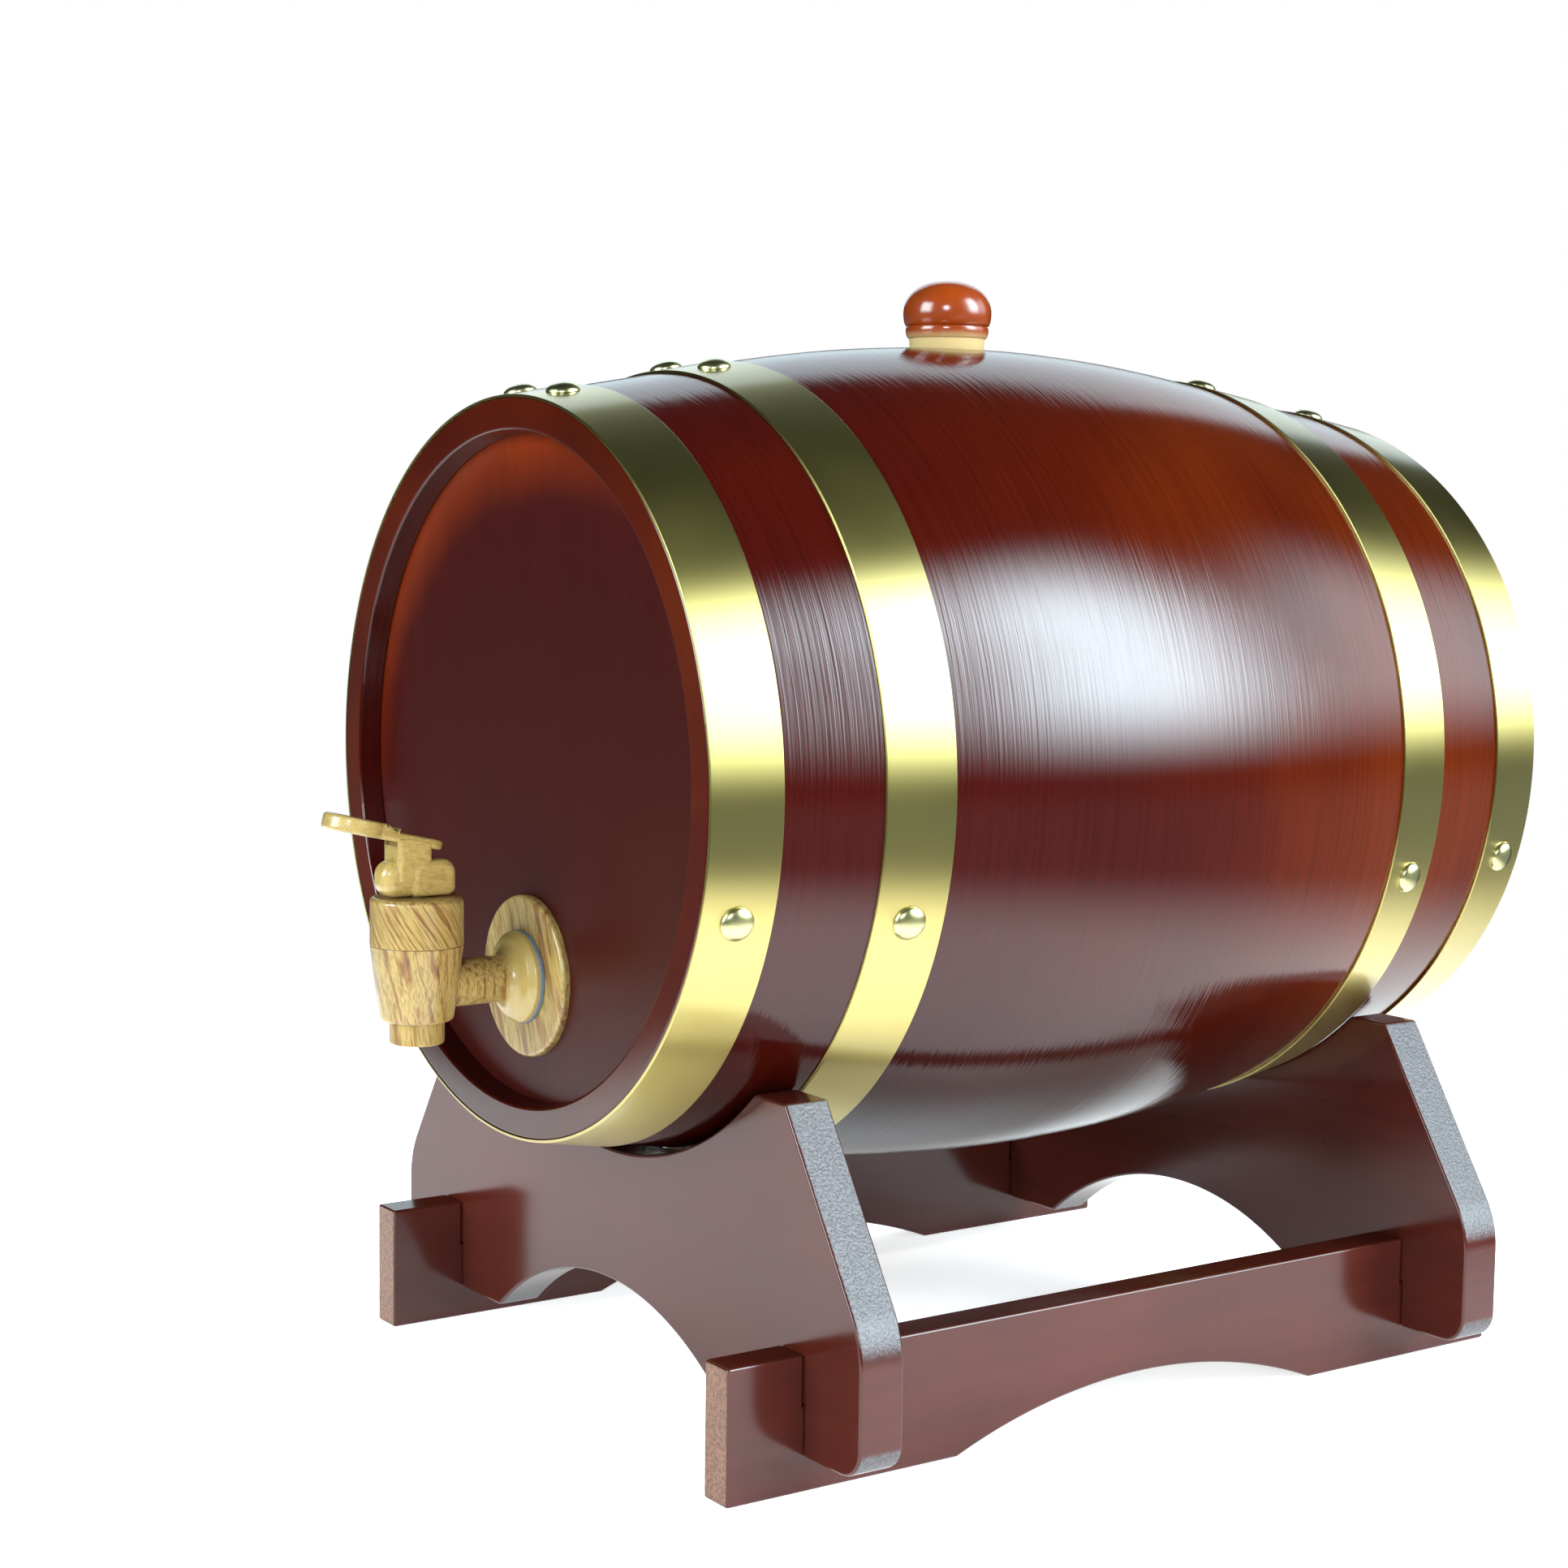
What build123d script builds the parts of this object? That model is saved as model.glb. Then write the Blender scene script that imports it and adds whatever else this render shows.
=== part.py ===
from build123d import *
import math
import os

# A small wine barrel of bent staves that lies on a stand of four lapped boards, with a bung on top and a
# lever tap in its front head. Millimetres. X runs across the barrel, Y along it with the tap at the low
# end, and Z up. The barrel is first made about its own axis, then lifted onto the stand.

# Barrel shell
BARREL_LENGTH = 330.0
BELLY_RADIUS = 133.2
BENT_HALF_LENGTH = 82.0  # a stave is bent this far each way from its middle, and straight beyond
STAVE_SLOPE = 9.5  # degrees, of the straight ends to the axis
STAVE_THICKNESS = 14.5
STAVE_COUNT = 16
AXIS_HEIGHT = 200.2

# Heads, and the stave ends turned to take them
CHIME_WALL = 9.7  # thickness of the ring that the stave ends form
CHIME_TAPER = 1.0
HEAD_RECESS = 7.5
HEAD_THICKNESS = 10.0
CROZE_WIDTH = 4.0
CROZE_DEPTH = 3.6
HEAD_CLEARANCE = 0.15
HEAD_BEVEL = 3.0

# Hoops and the dome heads of their nails
HOOP_WIDTH = 22.0
HOOP_THICKNESS = 0.8
HOOP_CLEARANCE = 0.05
INNER_HOOP_MIDDLE = 101.0  # from the middle of the barrel
NAIL_ANGLES = (-107.0, -6.5, 6.5, 107.0)  # degrees round the barrel from its top
NAIL_HEAD_RADIUS = 5.2
NAIL_HEAD_HEIGHT = 2.6
NAIL_CLEARANCE = 0.03

# Bung, a turned knob on a tapered plug
BUNG_PLUG_RADIUS = 12.55  # just under the bead
BUNG_PLUG_TAPER = 0.07  # of radius, for each millimetre of length
BUNG_PLUG_LENGTH = 26.0
BUNG_PROUD = 3.2  # bare plug that shows over the stave
BUNG_BEAD_RADIUS = 13.7
BUNG_BEAD_HEIGHT = 4.0
BUNG_GROOVE_RADIUS = 13.2
KNOB_RADIUS = 14.6
KNOB_SKIRT = 5.6
KNOB_SHOULDER_RADIUS = 12.1
KNOB_SHOULDER = 5.1
KNOB_CAP_RADIUS = 7.0
KNOB_CAP = 3.2
KNOB_CROWN = 1.0
BUNG_CLEARANCE = 0.3

# Tap body: spout, valve chamber, pipe, flange and threaded shank in one moulding
TAP_OVER_RIM = 38.9  # of the pipe's axis over the lowest point of the ring round the head
VALVE_REACH = 38.5  # of the valve's axis in front of the head
SPOUT_RADIUS = 8.3
SPOUT_BORE_RADIUS = 5.0
SPOUT_TIP_DROP = 17.1  # these three heights are from the pipe's axis
BODY_FOOT_DROP = 10.1
BODY_TOP_RISE = 12.9
BODY_FOOT_RADIUS = 11.0
BODY_FOOT_CHAMFER = 1.2
CHAMBER_RADIUS = 9.2
CHAMBER_FLOOR = 2.0
PIPE_RADIUS = 7.2
PIPE_BORE_RADIUS = 4.5
FLANGE_RADIUS = 14.2
FLANGE_THICKNESS = 3.8
FLANGE_RIM = 1.6
FLANGE_FACE_RADIUS = 11.2
PIPE_FLARE = 2.5
SHANK_RADIUS = 8.0
SHANK_BEYOND_NUT = 3.0
SHANK_CLEARANCE = 0.2

# Washers, plate and nut that clamp the tap to the head
DISC_RADIUS = 25.0
DISC_THICKNESS = 2.5
DISC_CHAMFER = 0.8
GASKET_RADIUS = 14.4
GASKET_THICKNESS = 1.5
INNER_GASKET_RADIUS = 13.0
INNER_GASKET_THICKNESS = 2.0
NUT_ACROSS_FLATS = 26.0
NUT_THICKNESS = 8.0

# Collar, which screws on the body and holds the rubber cup
COLLAR_RADIUS = 14.0
COLLAR_HEIGHT = 14.5
COLLAR_TOP_THICKNESS = 3.0
COLLAR_WALL = 2.1
COLLAR_CHAMFER = 1.0
COLLAR_THREAD_CLEARANCE = 0.4

# Valve: rubber cup, stem and return spring
CUP_RADIUS = 6.6
CUP_WALL = 1.1
CUP_FLOOR = 5.0
CUP_RIM_THICKNESS = 1.5
CUP_RIM_GAP = 0.3
STEM_RADIUS = 2.0
STEM_FLANGE_RADIUS = 4.9
STEM_FLANGE_THICKNESS = 1.4
STEM_BUTTON_RADIUS = 2.5
STEM_BUTTON_LENGTH = 2.5
STEM_CLEARANCE = 0.1
TRUNNION_RADIUS = 2.2
TRUNNION_LENGTH = 9.0
TRUNNION_CLEARANCE = 0.06
TRUNNION_END_GAP = 0.2
SPRING_COIL_RADIUS = 3.7
SPRING_WIRE_RADIUS = 0.5
SPRING_TURNS = 3.0

# Lever: a foot that rocks on the collar, a neck, an arm and a round thumb paddle
FOOT_GAP = 0.3
FOOT_WIDTH = 12.4
FOOT_LENGTH = 21.2
FOOT_HEIGHT = 11.0
FOOT_HEEL_ROUNDING = 2.5
FOOT_SHOULDER_ROUNDING = 4.0
FOOT_CORNER_ROUNDING = 3.0
TRUNNION_HEIGHT = 6.0  # over the foot's sole
NECK_WIDTH = 11.0
NECK_FRONT = 8.5
NECK_BACK = 2.7
NECK_ROUNDING = 1.5
NECK_SLOT_WIDTH = 8.2
NECK_SLOT_HEIGHT = 1.4
NECK_SLOT_DEPTH = 1.5
ARM_TILT = 13.2  # degrees, up towards the front
ARM_HEIGHT = 14.8  # of the arm's underside over the sole, on the valve's axis
ARM_THICKNESS = 3.0
ARM_WIDTH = 10.0
ARM_BACK = 2.7
PADDLE_REACH = 22.2
PADDLE_RADIUS = 9.0
PADDLE_THICKNESS = 4.8
LEVER_TRAVEL = 20.0  # degrees that the paddle is pushed down

# Stand: two cradles lapped over two rails
CRADLE_THICKNESS = 15.0
CRADLE_OUTER_FACE = 128.9  # from the middle of the barrel
CRADLE_HALF_WIDTH = 137.1
CRADLE_UNDERSIDE = 10.5
CRADLE_CORNER_ROUNDING = 9.0
CRADLE_KNEE_HEIGHT = 50.0
CRADLE_KNEE_ROUNDING = 30.0
HORN_HEIGHT = 111.0
HORN_OUTER = 98.2
SEAT_CLEARANCE = 0.3
CRADLE_ARCH_RADIUS = 108.0
CRADLE_ARCH_CROWN = 37.0
RAIL_LENGTH = 310.0
RAIL_THICKNESS = 12.0
RAIL_HEIGHT = 40.5
RAIL_OUTER_FACE = 109.6
RAIL_ARCH_RADIUS = 193.0
RAIL_ARCH_CROWN = 14.2
LAP_HEIGHT = 25.5  # where the two halves of a lap joint meet
LAP_CLEARANCE = 0.1

# Worked out from those
SLOPE = math.radians(STAVE_SLOPE)
BEND_RADIUS = BENT_HALF_LENGTH / math.sin(SLOPE)
STAVE_ANGLE = 360.0 / STAVE_COUNT
END = BARREL_LENGTH / 2
HEAD_FACE = END - HEAD_RECESS
END_RADIUS = BELLY_RADIUS - BEND_RADIUS * (1 - math.cos(SLOPE)) - (END - BENT_HALF_LENGTH) * math.tan(SLOPE)
CHIME_RADIUS = END_RADIUS - CHIME_WALL
CROZE_RADIUS = CHIME_RADIUS - CHIME_TAPER + CROZE_DEPTH
HOOP_MIDDLES = (END - HOOP_WIDTH / 2, INNER_HOOP_MIDDLE)

VALVE_Y = -(HEAD_FACE + VALVE_REACH)
TAP_Z = TAP_OVER_RIM - CHIME_RADIUS
FLANGE_Y = -(HEAD_FACE + DISC_THICKNESS + GASKET_THICKNESS)
HEAD_BACK = -(HEAD_FACE - HEAD_THICKNESS)
NUT_Y = HEAD_BACK + INNER_GASKET_THICKNESS
SHANK_END = NUT_Y + NUT_THICKNESS + SHANK_BEYOND_NUT

# Heights in the tap, over its pipe's axis
CHAMBER_BOTTOM = CHAMBER_FLOOR - BODY_FOOT_DROP
COLLAR_TOP = BODY_TOP_RISE + COLLAR_HEIGHT
COLLAR_CEILING = COLLAR_TOP - COLLAR_TOP_THICKNESS
BODY_RIM = COLLAR_CEILING - CUP_RIM_THICKNESS
CUP_INSIDE = CHAMBER_BOTTOM + CUP_FLOOR
STEM_SEAT = CUP_INSIDE + STEM_FLANGE_THICKNESS
SOLE = COLLAR_TOP + FOOT_GAP
TRUNNION_Z = SOLE + TRUNNION_HEIGHT
COLLAR_BORE_RADIUS = COLLAR_RADIUS - COLLAR_WALL
BODY_NECK_RADIUS = COLLAR_BORE_RADIUS - COLLAR_THREAD_CLEARANCE


def stave_radius(y, depth=0.0):
    """Distance from the barrel's axis to the line that lies depth under a stave's outside, at y."""
    bend = BEND_RADIUS - depth
    reach = bend * math.sin(SLOPE)
    bend_centre = BELLY_RADIUS - BEND_RADIUS
    if abs(y) <= reach:
        return bend_centre + math.sqrt(bend ** 2 - y ** 2)
    return bend_centre + bend * math.cos(SLOPE) - (abs(y) - reach) * math.tan(SLOPE)


def stave_line(depth):
    """That line from end to end: a straight run, the bend and a straight run."""
    reach = (BEND_RADIUS - depth) * math.sin(SLOPE)
    front, bend_start, middle, bend_end, back = [
        (y, stave_radius(y, depth)) for y in (-END, -reach, 0.0, reach, END)
    ]
    return [Line(front, bend_start), ThreePointArc(bend_start, middle, bend_end), Line(bend_end, back)]


def closed_below(edges, level):
    """A YZ face between the edges, which run from the front end to the back, and a level line."""
    start = edges[0] @ 0
    finish = edges[-1] @ 1
    rest = Polyline((finish.X, finish.Y), (finish.X, level), (start.X, level), (start.X, start.Y))
    return Plane.YZ * Face(Wire([*edges, *rest.edges()]))


def turned_y(points):
    """A solid turned about the Y axis from the corners of its outline, as (y, radius)."""
    return revolve(Plane.YZ * make_face(Polyline(*points, close=True)), Axis.Y)


def turned_z(points):
    """A solid turned about the Z axis from the corners of its outline, as (radius, z)."""
    return revolve(Plane.XZ * make_face(Polyline(*points, close=True)), Axis.Z)


def rod_y(radius, y, length):
    """A round rod on the Y axis, from y backwards."""
    return turned_y([(y, 0.0), (y, radius), (y + length, radius), (y + length, 0.0)])


def washer_y(radius, y, thickness):
    """A washer for the tap's shank, on the Y axis from y backwards."""
    return rod_y(radius, y, thickness) - rod_y(SHANK_RADIUS + SHANK_CLEARANCE, y, thickness)


def both_ends(part):
    """The part and its mirror image at the other end of the barrel."""
    return part + mirror(part, Plane.XZ)


def nail_place(y, angle):
    """Where a nail meets the outside of a hoop: its Z axis points out of the barrel."""
    lean = -math.copysign(STAVE_SLOPE, y)
    surface = stave_radius(y) + (HOOP_CLEARANCE + HOOP_THICKNESS + NAIL_CLEARANCE) / math.cos(SLOPE)
    return Rot(0, angle, 0) * Pos(0, y, surface) * Rot(lean, 0, 0)


def make_nails():
    """The dome heads of all nails. Their shanks are sunk in the staves and aren't modelled."""
    ball_radius = (NAIL_HEAD_RADIUS ** 2 + NAIL_HEAD_HEIGHT ** 2) / (2 * NAIL_HEAD_HEIGHT)
    ball = Pos(0, 0, NAIL_HEAD_HEIGHT - ball_radius) * Sphere(ball_radius)
    head = ball & (Pos(0, 0, ball_radius) * Box(*[2 * ball_radius] * 3))
    ends = [side * middle for middle in HOOP_MIDDLES for side in (-1, 1)]
    return Compound(children=[nail_place(y, angle) * head for y in ends for angle in NAIL_ANGLES])


def bung_radius(height):
    """Radius of the bung's plug at a height over the stave's outside."""
    return BUNG_PLUG_RADIUS - (BUNG_PROUD - height) * BUNG_PLUG_TAPER


def make_bung():
    """The bung, standing in its hole at the top of the belly."""
    plug_end = BUNG_PROUD - BUNG_PLUG_LENGTH
    bead_top = BUNG_PROUD + BUNG_BEAD_HEIGHT
    widest = bead_top + KNOB_SKIRT
    shoulder = widest + KNOB_SHOULDER
    cap = shoulder + KNOB_CAP
    return Pos(0, 0, BELLY_RADIUS) * turned_z([
        (0.0, plug_end),
        (bung_radius(plug_end), plug_end),
        (BUNG_PLUG_RADIUS, BUNG_PROUD),
        (BUNG_BEAD_RADIUS, BUNG_PROUD + BUNG_BEAD_HEIGHT / 3),
        (BUNG_BEAD_RADIUS, bead_top - BUNG_BEAD_HEIGHT / 3),
        (BUNG_GROOVE_RADIUS, bead_top),
        (KNOB_RADIUS, widest),
        (KNOB_SHOULDER_RADIUS, shoulder),
        (KNOB_CAP_RADIUS, cap),
        (0.0, cap + KNOB_CROWN),
    ])


def make_bung_hole():
    """The tapered hole through the top stave."""
    inside = -2 * STAVE_THICKNESS
    outside = BUNG_PROUD
    low = bung_radius(inside) + BUNG_CLEARANCE
    high = bung_radius(outside) + BUNG_CLEARANCE
    cone = Cone(low, high, outside - inside)
    return Pos(0, 0, BELLY_RADIUS + (inside + outside) / 2) * cone


def make_plain_stave():
    """One stave at the top of the barrel, before any hole is bored."""
    wedge = revolve(closed_below(stave_line(0.0), 0.0), Axis.Y, STAVE_ANGLE)
    over_inside = closed_below(stave_line(STAVE_THICKNESS), BELLY_RADIUS + STAVE_THICKNESS)
    board = extrude(over_inside, BELLY_RADIUS, both=True)
    stave = (Rot(0, -STAVE_ANGLE / 2, 0) * wedge) & board
    croze_inside = CROZE_WIDTH - HEAD_FACE
    turning = turned_y([
        (-END, 0.0),
        (-END, CHIME_RADIUS),
        (-HEAD_FACE, CHIME_RADIUS - CHIME_TAPER),
        (-HEAD_FACE, CROZE_RADIUS),
        (croze_inside, CROZE_RADIUS),
        (croze_inside, 0.0),
    ])
    return stave - both_ends(turning)


def make_staves():
    """All staves by name, the first with the bung hole bored through it."""
    plain = make_plain_stave()
    staves = {"bung_stave": plain - make_bung_hole()}
    for index in range(1, STAVE_COUNT):
        staves[f"stave_{index:02d}"] = Rot(0, index * STAVE_ANGLE, 0) * plain
    return staves


def make_head():
    """The front head: a round board with a thinned rim that stands in the croze."""
    rim = CROZE_RADIUS - HEAD_CLEARANCE
    rim_back = CROZE_WIDTH - HEAD_CLEARANCE - HEAD_FACE
    inside = stave_radius(rim_back, STAVE_THICKNESS) - HEAD_CLEARANCE
    return turned_y([
        (-HEAD_FACE, 0.0),
        (-HEAD_FACE, rim),
        (rim_back, rim),
        (rim_back, inside),
        (HEAD_BACK, inside - HEAD_BEVEL),
        (HEAD_BACK, 0.0),
    ])


def make_hoop(middle):
    """A conical hoop about the staves, at middle from the middle of the barrel."""
    wall = HOOP_THICKNESS / math.cos(SLOPE)
    low, high = [
        (y, stave_radius(y) + HOOP_CLEARANCE / math.cos(SLOPE))
        for y in (middle - HOOP_WIDTH / 2, middle + HOOP_WIDTH / 2)
    ]
    return turned_y([low, high, (high[0], high[1] + wall), (low[0], low[1] + wall)])


def make_tap_body():
    """Spout, valve chamber, pipe, flange and shank, with the valve's axis on Z and the pipe's at z = 0."""
    valve = turned_z([
        (0.0, -SPOUT_TIP_DROP),
        (SPOUT_RADIUS, -SPOUT_TIP_DROP),
        (SPOUT_RADIUS, -BODY_FOOT_DROP),
        (BODY_FOOT_RADIUS - BODY_FOOT_CHAMFER, -BODY_FOOT_DROP),
        (BODY_FOOT_RADIUS, BODY_FOOT_CHAMFER - BODY_FOOT_DROP),
        (COLLAR_RADIUS, BODY_TOP_RISE),
        (BODY_NECK_RADIUS, BODY_TOP_RISE),
        (BODY_NECK_RADIUS, BODY_RIM),
        (0.0, BODY_RIM),
    ])
    flange_back = FLANGE_Y - VALVE_Y
    flange_front = flange_back - FLANGE_THICKNESS
    shank_end = SHANK_END - VALVE_Y
    pipe = turned_y([
        (0.0, 0.0),
        (0.0, PIPE_RADIUS),
        (flange_front - PIPE_FLARE, PIPE_RADIUS),
        (flange_front, FLANGE_FACE_RADIUS),
        (flange_back - FLANGE_RIM, FLANGE_RADIUS),
        (flange_back, FLANGE_RADIUS),
        (flange_back, SHANK_RADIUS),
        (shank_end, SHANK_RADIUS),
        (shank_end, 0.0),
    ])
    chamber_height = BODY_RIM - CHAMBER_BOTTOM
    chamber = Pos(0, 0, CHAMBER_BOTTOM + chamber_height / 2) * Cylinder(CHAMBER_RADIUS, chamber_height)
    spout_bore = Pos(0, 0, -SPOUT_TIP_DROP / 2) * Cylinder(SPOUT_BORE_RADIUS, SPOUT_TIP_DROP)
    pipe_bore = rod_y(PIPE_BORE_RADIUS, 0.0, shank_end)
    return valve + pipe - chamber - spout_bore - pipe_bore


def make_disc():
    """The plate between the flange's gasket and the head, with a bevelled front edge."""
    back = -HEAD_FACE
    front = back - DISC_THICKNESS
    hole = SHANK_RADIUS + SHANK_CLEARANCE
    return turned_y([
        (back, hole),
        (front, hole),
        (front, DISC_RADIUS - DISC_CHAMFER),
        (front + DISC_CHAMFER, DISC_RADIUS),
        (back, DISC_RADIUS),
    ])


def make_nut():
    """The hexagonal nut on the shank, inside the barrel."""
    hexagon = Plane.XZ.offset(-NUT_Y) * RegularPolygon(NUT_ACROSS_FLATS / 2, 6, major_radius=False)
    return extrude(hexagon, -NUT_THICKNESS) - rod_y(SHANK_RADIUS + SHANK_CLEARANCE, NUT_Y, NUT_THICKNESS)


def make_collar():
    """The screw collar: a cap with a hole for the stem."""
    hole = STEM_RADIUS + STEM_CLEARANCE
    return turned_z([
        (COLLAR_RADIUS, BODY_TOP_RISE),
        (COLLAR_BORE_RADIUS, BODY_TOP_RISE),
        (COLLAR_BORE_RADIUS, COLLAR_CEILING),
        (hole, COLLAR_CEILING),
        (hole, COLLAR_TOP),
        (COLLAR_RADIUS - COLLAR_CHAMFER, COLLAR_TOP),
        (COLLAR_RADIUS, COLLAR_TOP - COLLAR_CHAMFER),
    ])


def make_cup():
    """The rubber cup: its floor shuts the spout, and its rim is clamped under the collar."""
    inner = CUP_RADIUS - CUP_WALL
    rim_radius = COLLAR_BORE_RADIUS - CUP_RIM_GAP
    socket_radius = STEM_BUTTON_RADIUS
    socket_floor = CUP_INSIDE - STEM_BUTTON_LENGTH
    return turned_z([
        (0.0, CHAMBER_BOTTOM),
        (CUP_RADIUS, CHAMBER_BOTTOM),
        (CUP_RADIUS, BODY_RIM),
        (rim_radius, BODY_RIM),
        (rim_radius, COLLAR_CEILING),
        (inner, COLLAR_CEILING),
        (inner, CUP_INSIDE),
        (socket_radius, CUP_INSIDE),
        (socket_radius, socket_floor),
        (0.0, socket_floor),
    ])


def make_stem():
    """The stem: a button in the cup, a seat for the spring, and a cross bar in the lever's foot."""
    button_radius = STEM_BUTTON_RADIUS - TRUNNION_CLEARANCE
    shaft = turned_z([
        (0.0, CUP_INSIDE - STEM_BUTTON_LENGTH),
        (button_radius, CUP_INSIDE - STEM_BUTTON_LENGTH),
        (button_radius, CUP_INSIDE),
        (STEM_FLANGE_RADIUS, CUP_INSIDE),
        (STEM_FLANGE_RADIUS, STEM_SEAT),
        (STEM_RADIUS, STEM_SEAT),
        (STEM_RADIUS, TRUNNION_Z),
        (0.0, TRUNNION_Z),
    ])
    cross_bar = Pos(0, 0, TRUNNION_Z) * Rot(0, 90, 0) * Cylinder(TRUNNION_RADIUS, TRUNNION_LENGTH)
    return shaft + cross_bar


def make_spring():
    """The coil spring between the stem's seat and the collar."""
    height = COLLAR_CEILING - STEM_SEAT - 2 * SPRING_WIRE_RADIUS
    path = Helix(height / SPRING_TURNS, height, SPRING_COIL_RADIUS)
    wire = Plane(origin=path @ 0, z_dir=path % 0) * RegularPolygon(SPRING_WIRE_RADIUS, 6)
    return Pos(0, 0, STEM_SEAT + SPRING_WIRE_RADIUS) * sweep(wire, path, is_frenet=True)


def make_lever():
    """The lever, with the valve's axis on Z and the foot's sole at its height over the pipe's axis."""
    side_view = fillet(Rectangle(FOOT_LENGTH, FOOT_HEIGHT).vertices().group_by(Axis.Y)[0], FOOT_HEEL_ROUNDING)
    side_view = fillet(side_view.vertices().group_by(Axis.Y)[-1], FOOT_SHOULDER_ROUNDING)
    plan = RectangleRounded(FOOT_WIDTH, FOOT_LENGTH, FOOT_CORNER_ROUNDING)
    foot = extrude(Plane.YZ * side_view, FOOT_WIDTH, both=True) & extrude(plan, FOOT_HEIGHT, both=True)
    foot = Pos(0, 0, FOOT_HEIGHT / 2) * foot

    arm_line = Pos(0, 0, ARM_HEIGHT) * Rot(-ARM_TILT, 0, 0)
    arm_plan = make_hull([
        *(Pos(0, ARM_BACK) * Circle(ARM_WIDTH / 2)).edges(),
        *(Pos(0, -PADDLE_REACH) * Circle(ARM_WIDTH / 2)).edges(),
    ])
    arm = arm_line * extrude(arm_plan, ARM_THICKNESS)
    paddle = arm_line * extrude(Pos(0, -PADDLE_REACH) * Circle(PADDLE_RADIUS), PADDLE_THICKNESS)

    neck_plan = Pos(0, (NECK_BACK - NECK_FRONT) / 2) * RectangleRounded(
        NECK_WIDTH, NECK_FRONT + NECK_BACK, NECK_ROUNDING
    )
    neck = Pos(0, 0, FOOT_HEIGHT / 2) * extrude(neck_plan, ARM_HEIGHT)
    under_arm = extrude(Rectangle(2 * FOOT_LENGTH, 2 * FOOT_LENGTH), -ARM_HEIGHT)
    neck &= arm_line * under_arm
    slot = arm_line * Pos(0, -NECK_FRONT, -NECK_SLOT_HEIGHT / 2) * Box(
        NECK_SLOT_WIDTH, 2 * NECK_SLOT_DEPTH, NECK_SLOT_HEIGHT
    )

    socket = Pos(0, 0, TRUNNION_HEIGHT) * Rot(0, 90, 0) * Cylinder(
        TRUNNION_RADIUS + TRUNNION_CLEARANCE, TRUNNION_LENGTH + 2 * TRUNNION_END_GAP
    )
    travel = math.radians(LEVER_TRAVEL)
    stem_gap = STEM_RADIUS + STEM_CLEARANCE
    swing = TRUNNION_HEIGHT * math.tan(travel) + stem_gap / math.cos(travel)
    stem_slot = Pos(0, 0, TRUNNION_HEIGHT / 2) * Box(2 * stem_gap, 2 * swing, TRUNNION_HEIGHT)
    return Pos(0, 0, SOLE) * (foot + neck + arm + paddle - slot - socket - stem_slot)


def make_cradle():
    """The front cradle, with the origin on the floor under the middle of the barrel."""
    seat_radius = stave_radius(CRADLE_OUTER_FACE - CRADLE_THICKNESS) + SEAT_CLEARANCE
    outline = make_face(Polyline(
        (-CRADLE_HALF_WIDTH, CRADLE_UNDERSIDE),
        (CRADLE_HALF_WIDTH, CRADLE_UNDERSIDE),
        (CRADLE_HALF_WIDTH, CRADLE_KNEE_HEIGHT),
        (HORN_OUTER, HORN_HEIGHT),
        (-HORN_OUTER, HORN_HEIGHT),
        (-CRADLE_HALF_WIDTH, CRADLE_KNEE_HEIGHT),
        close=True,
    ))
    outline = fillet(outline.vertices().group_by(Axis.Y)[1], CRADLE_KNEE_ROUNDING)
    outline = fillet(outline.vertices().group_by(Axis.Y)[0], CRADLE_CORNER_ROUNDING)
    outline -= Pos(0, AXIS_HEIGHT) * Circle(seat_radius)
    outline -= Pos(0, CRADLE_ARCH_CROWN - CRADLE_ARCH_RADIUS) * Circle(CRADLE_ARCH_RADIUS)
    lap_width = RAIL_THICKNESS + 2 * LAP_CLEARANCE
    lap_height = 2 * (LAP_HEIGHT - CRADLE_UNDERSIDE)
    for side in (-1, 1):
        rail_middle = side * (RAIL_OUTER_FACE - RAIL_THICKNESS / 2)
        outline -= Pos(rail_middle, CRADLE_UNDERSIDE) * Rectangle(lap_width, lap_height)
    return extrude(Plane.XZ.offset(CRADLE_OUTER_FACE) * outline, -CRADLE_THICKNESS)


def make_rail():
    """The right rail: a board on edge, arched below, with a notch for each cradle."""
    outline = Pos(0, RAIL_HEIGHT / 2) * Rectangle(RAIL_LENGTH, RAIL_HEIGHT)
    outline -= Pos(0, RAIL_ARCH_CROWN - RAIL_ARCH_RADIUS) * Circle(RAIL_ARCH_RADIUS)
    notch_middle = CRADLE_OUTER_FACE - CRADLE_THICKNESS / 2
    notch_width = CRADLE_THICKNESS + 2 * LAP_CLEARANCE
    for side in (-1, 1):
        notch = Rectangle(notch_width, 2 * (RAIL_HEIGHT - LAP_HEIGHT))
        outline -= Pos(side * notch_middle, RAIL_HEIGHT) * notch
    return extrude(Plane.YZ.offset(RAIL_OUTER_FACE) * outline, -RAIL_THICKNESS)


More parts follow.
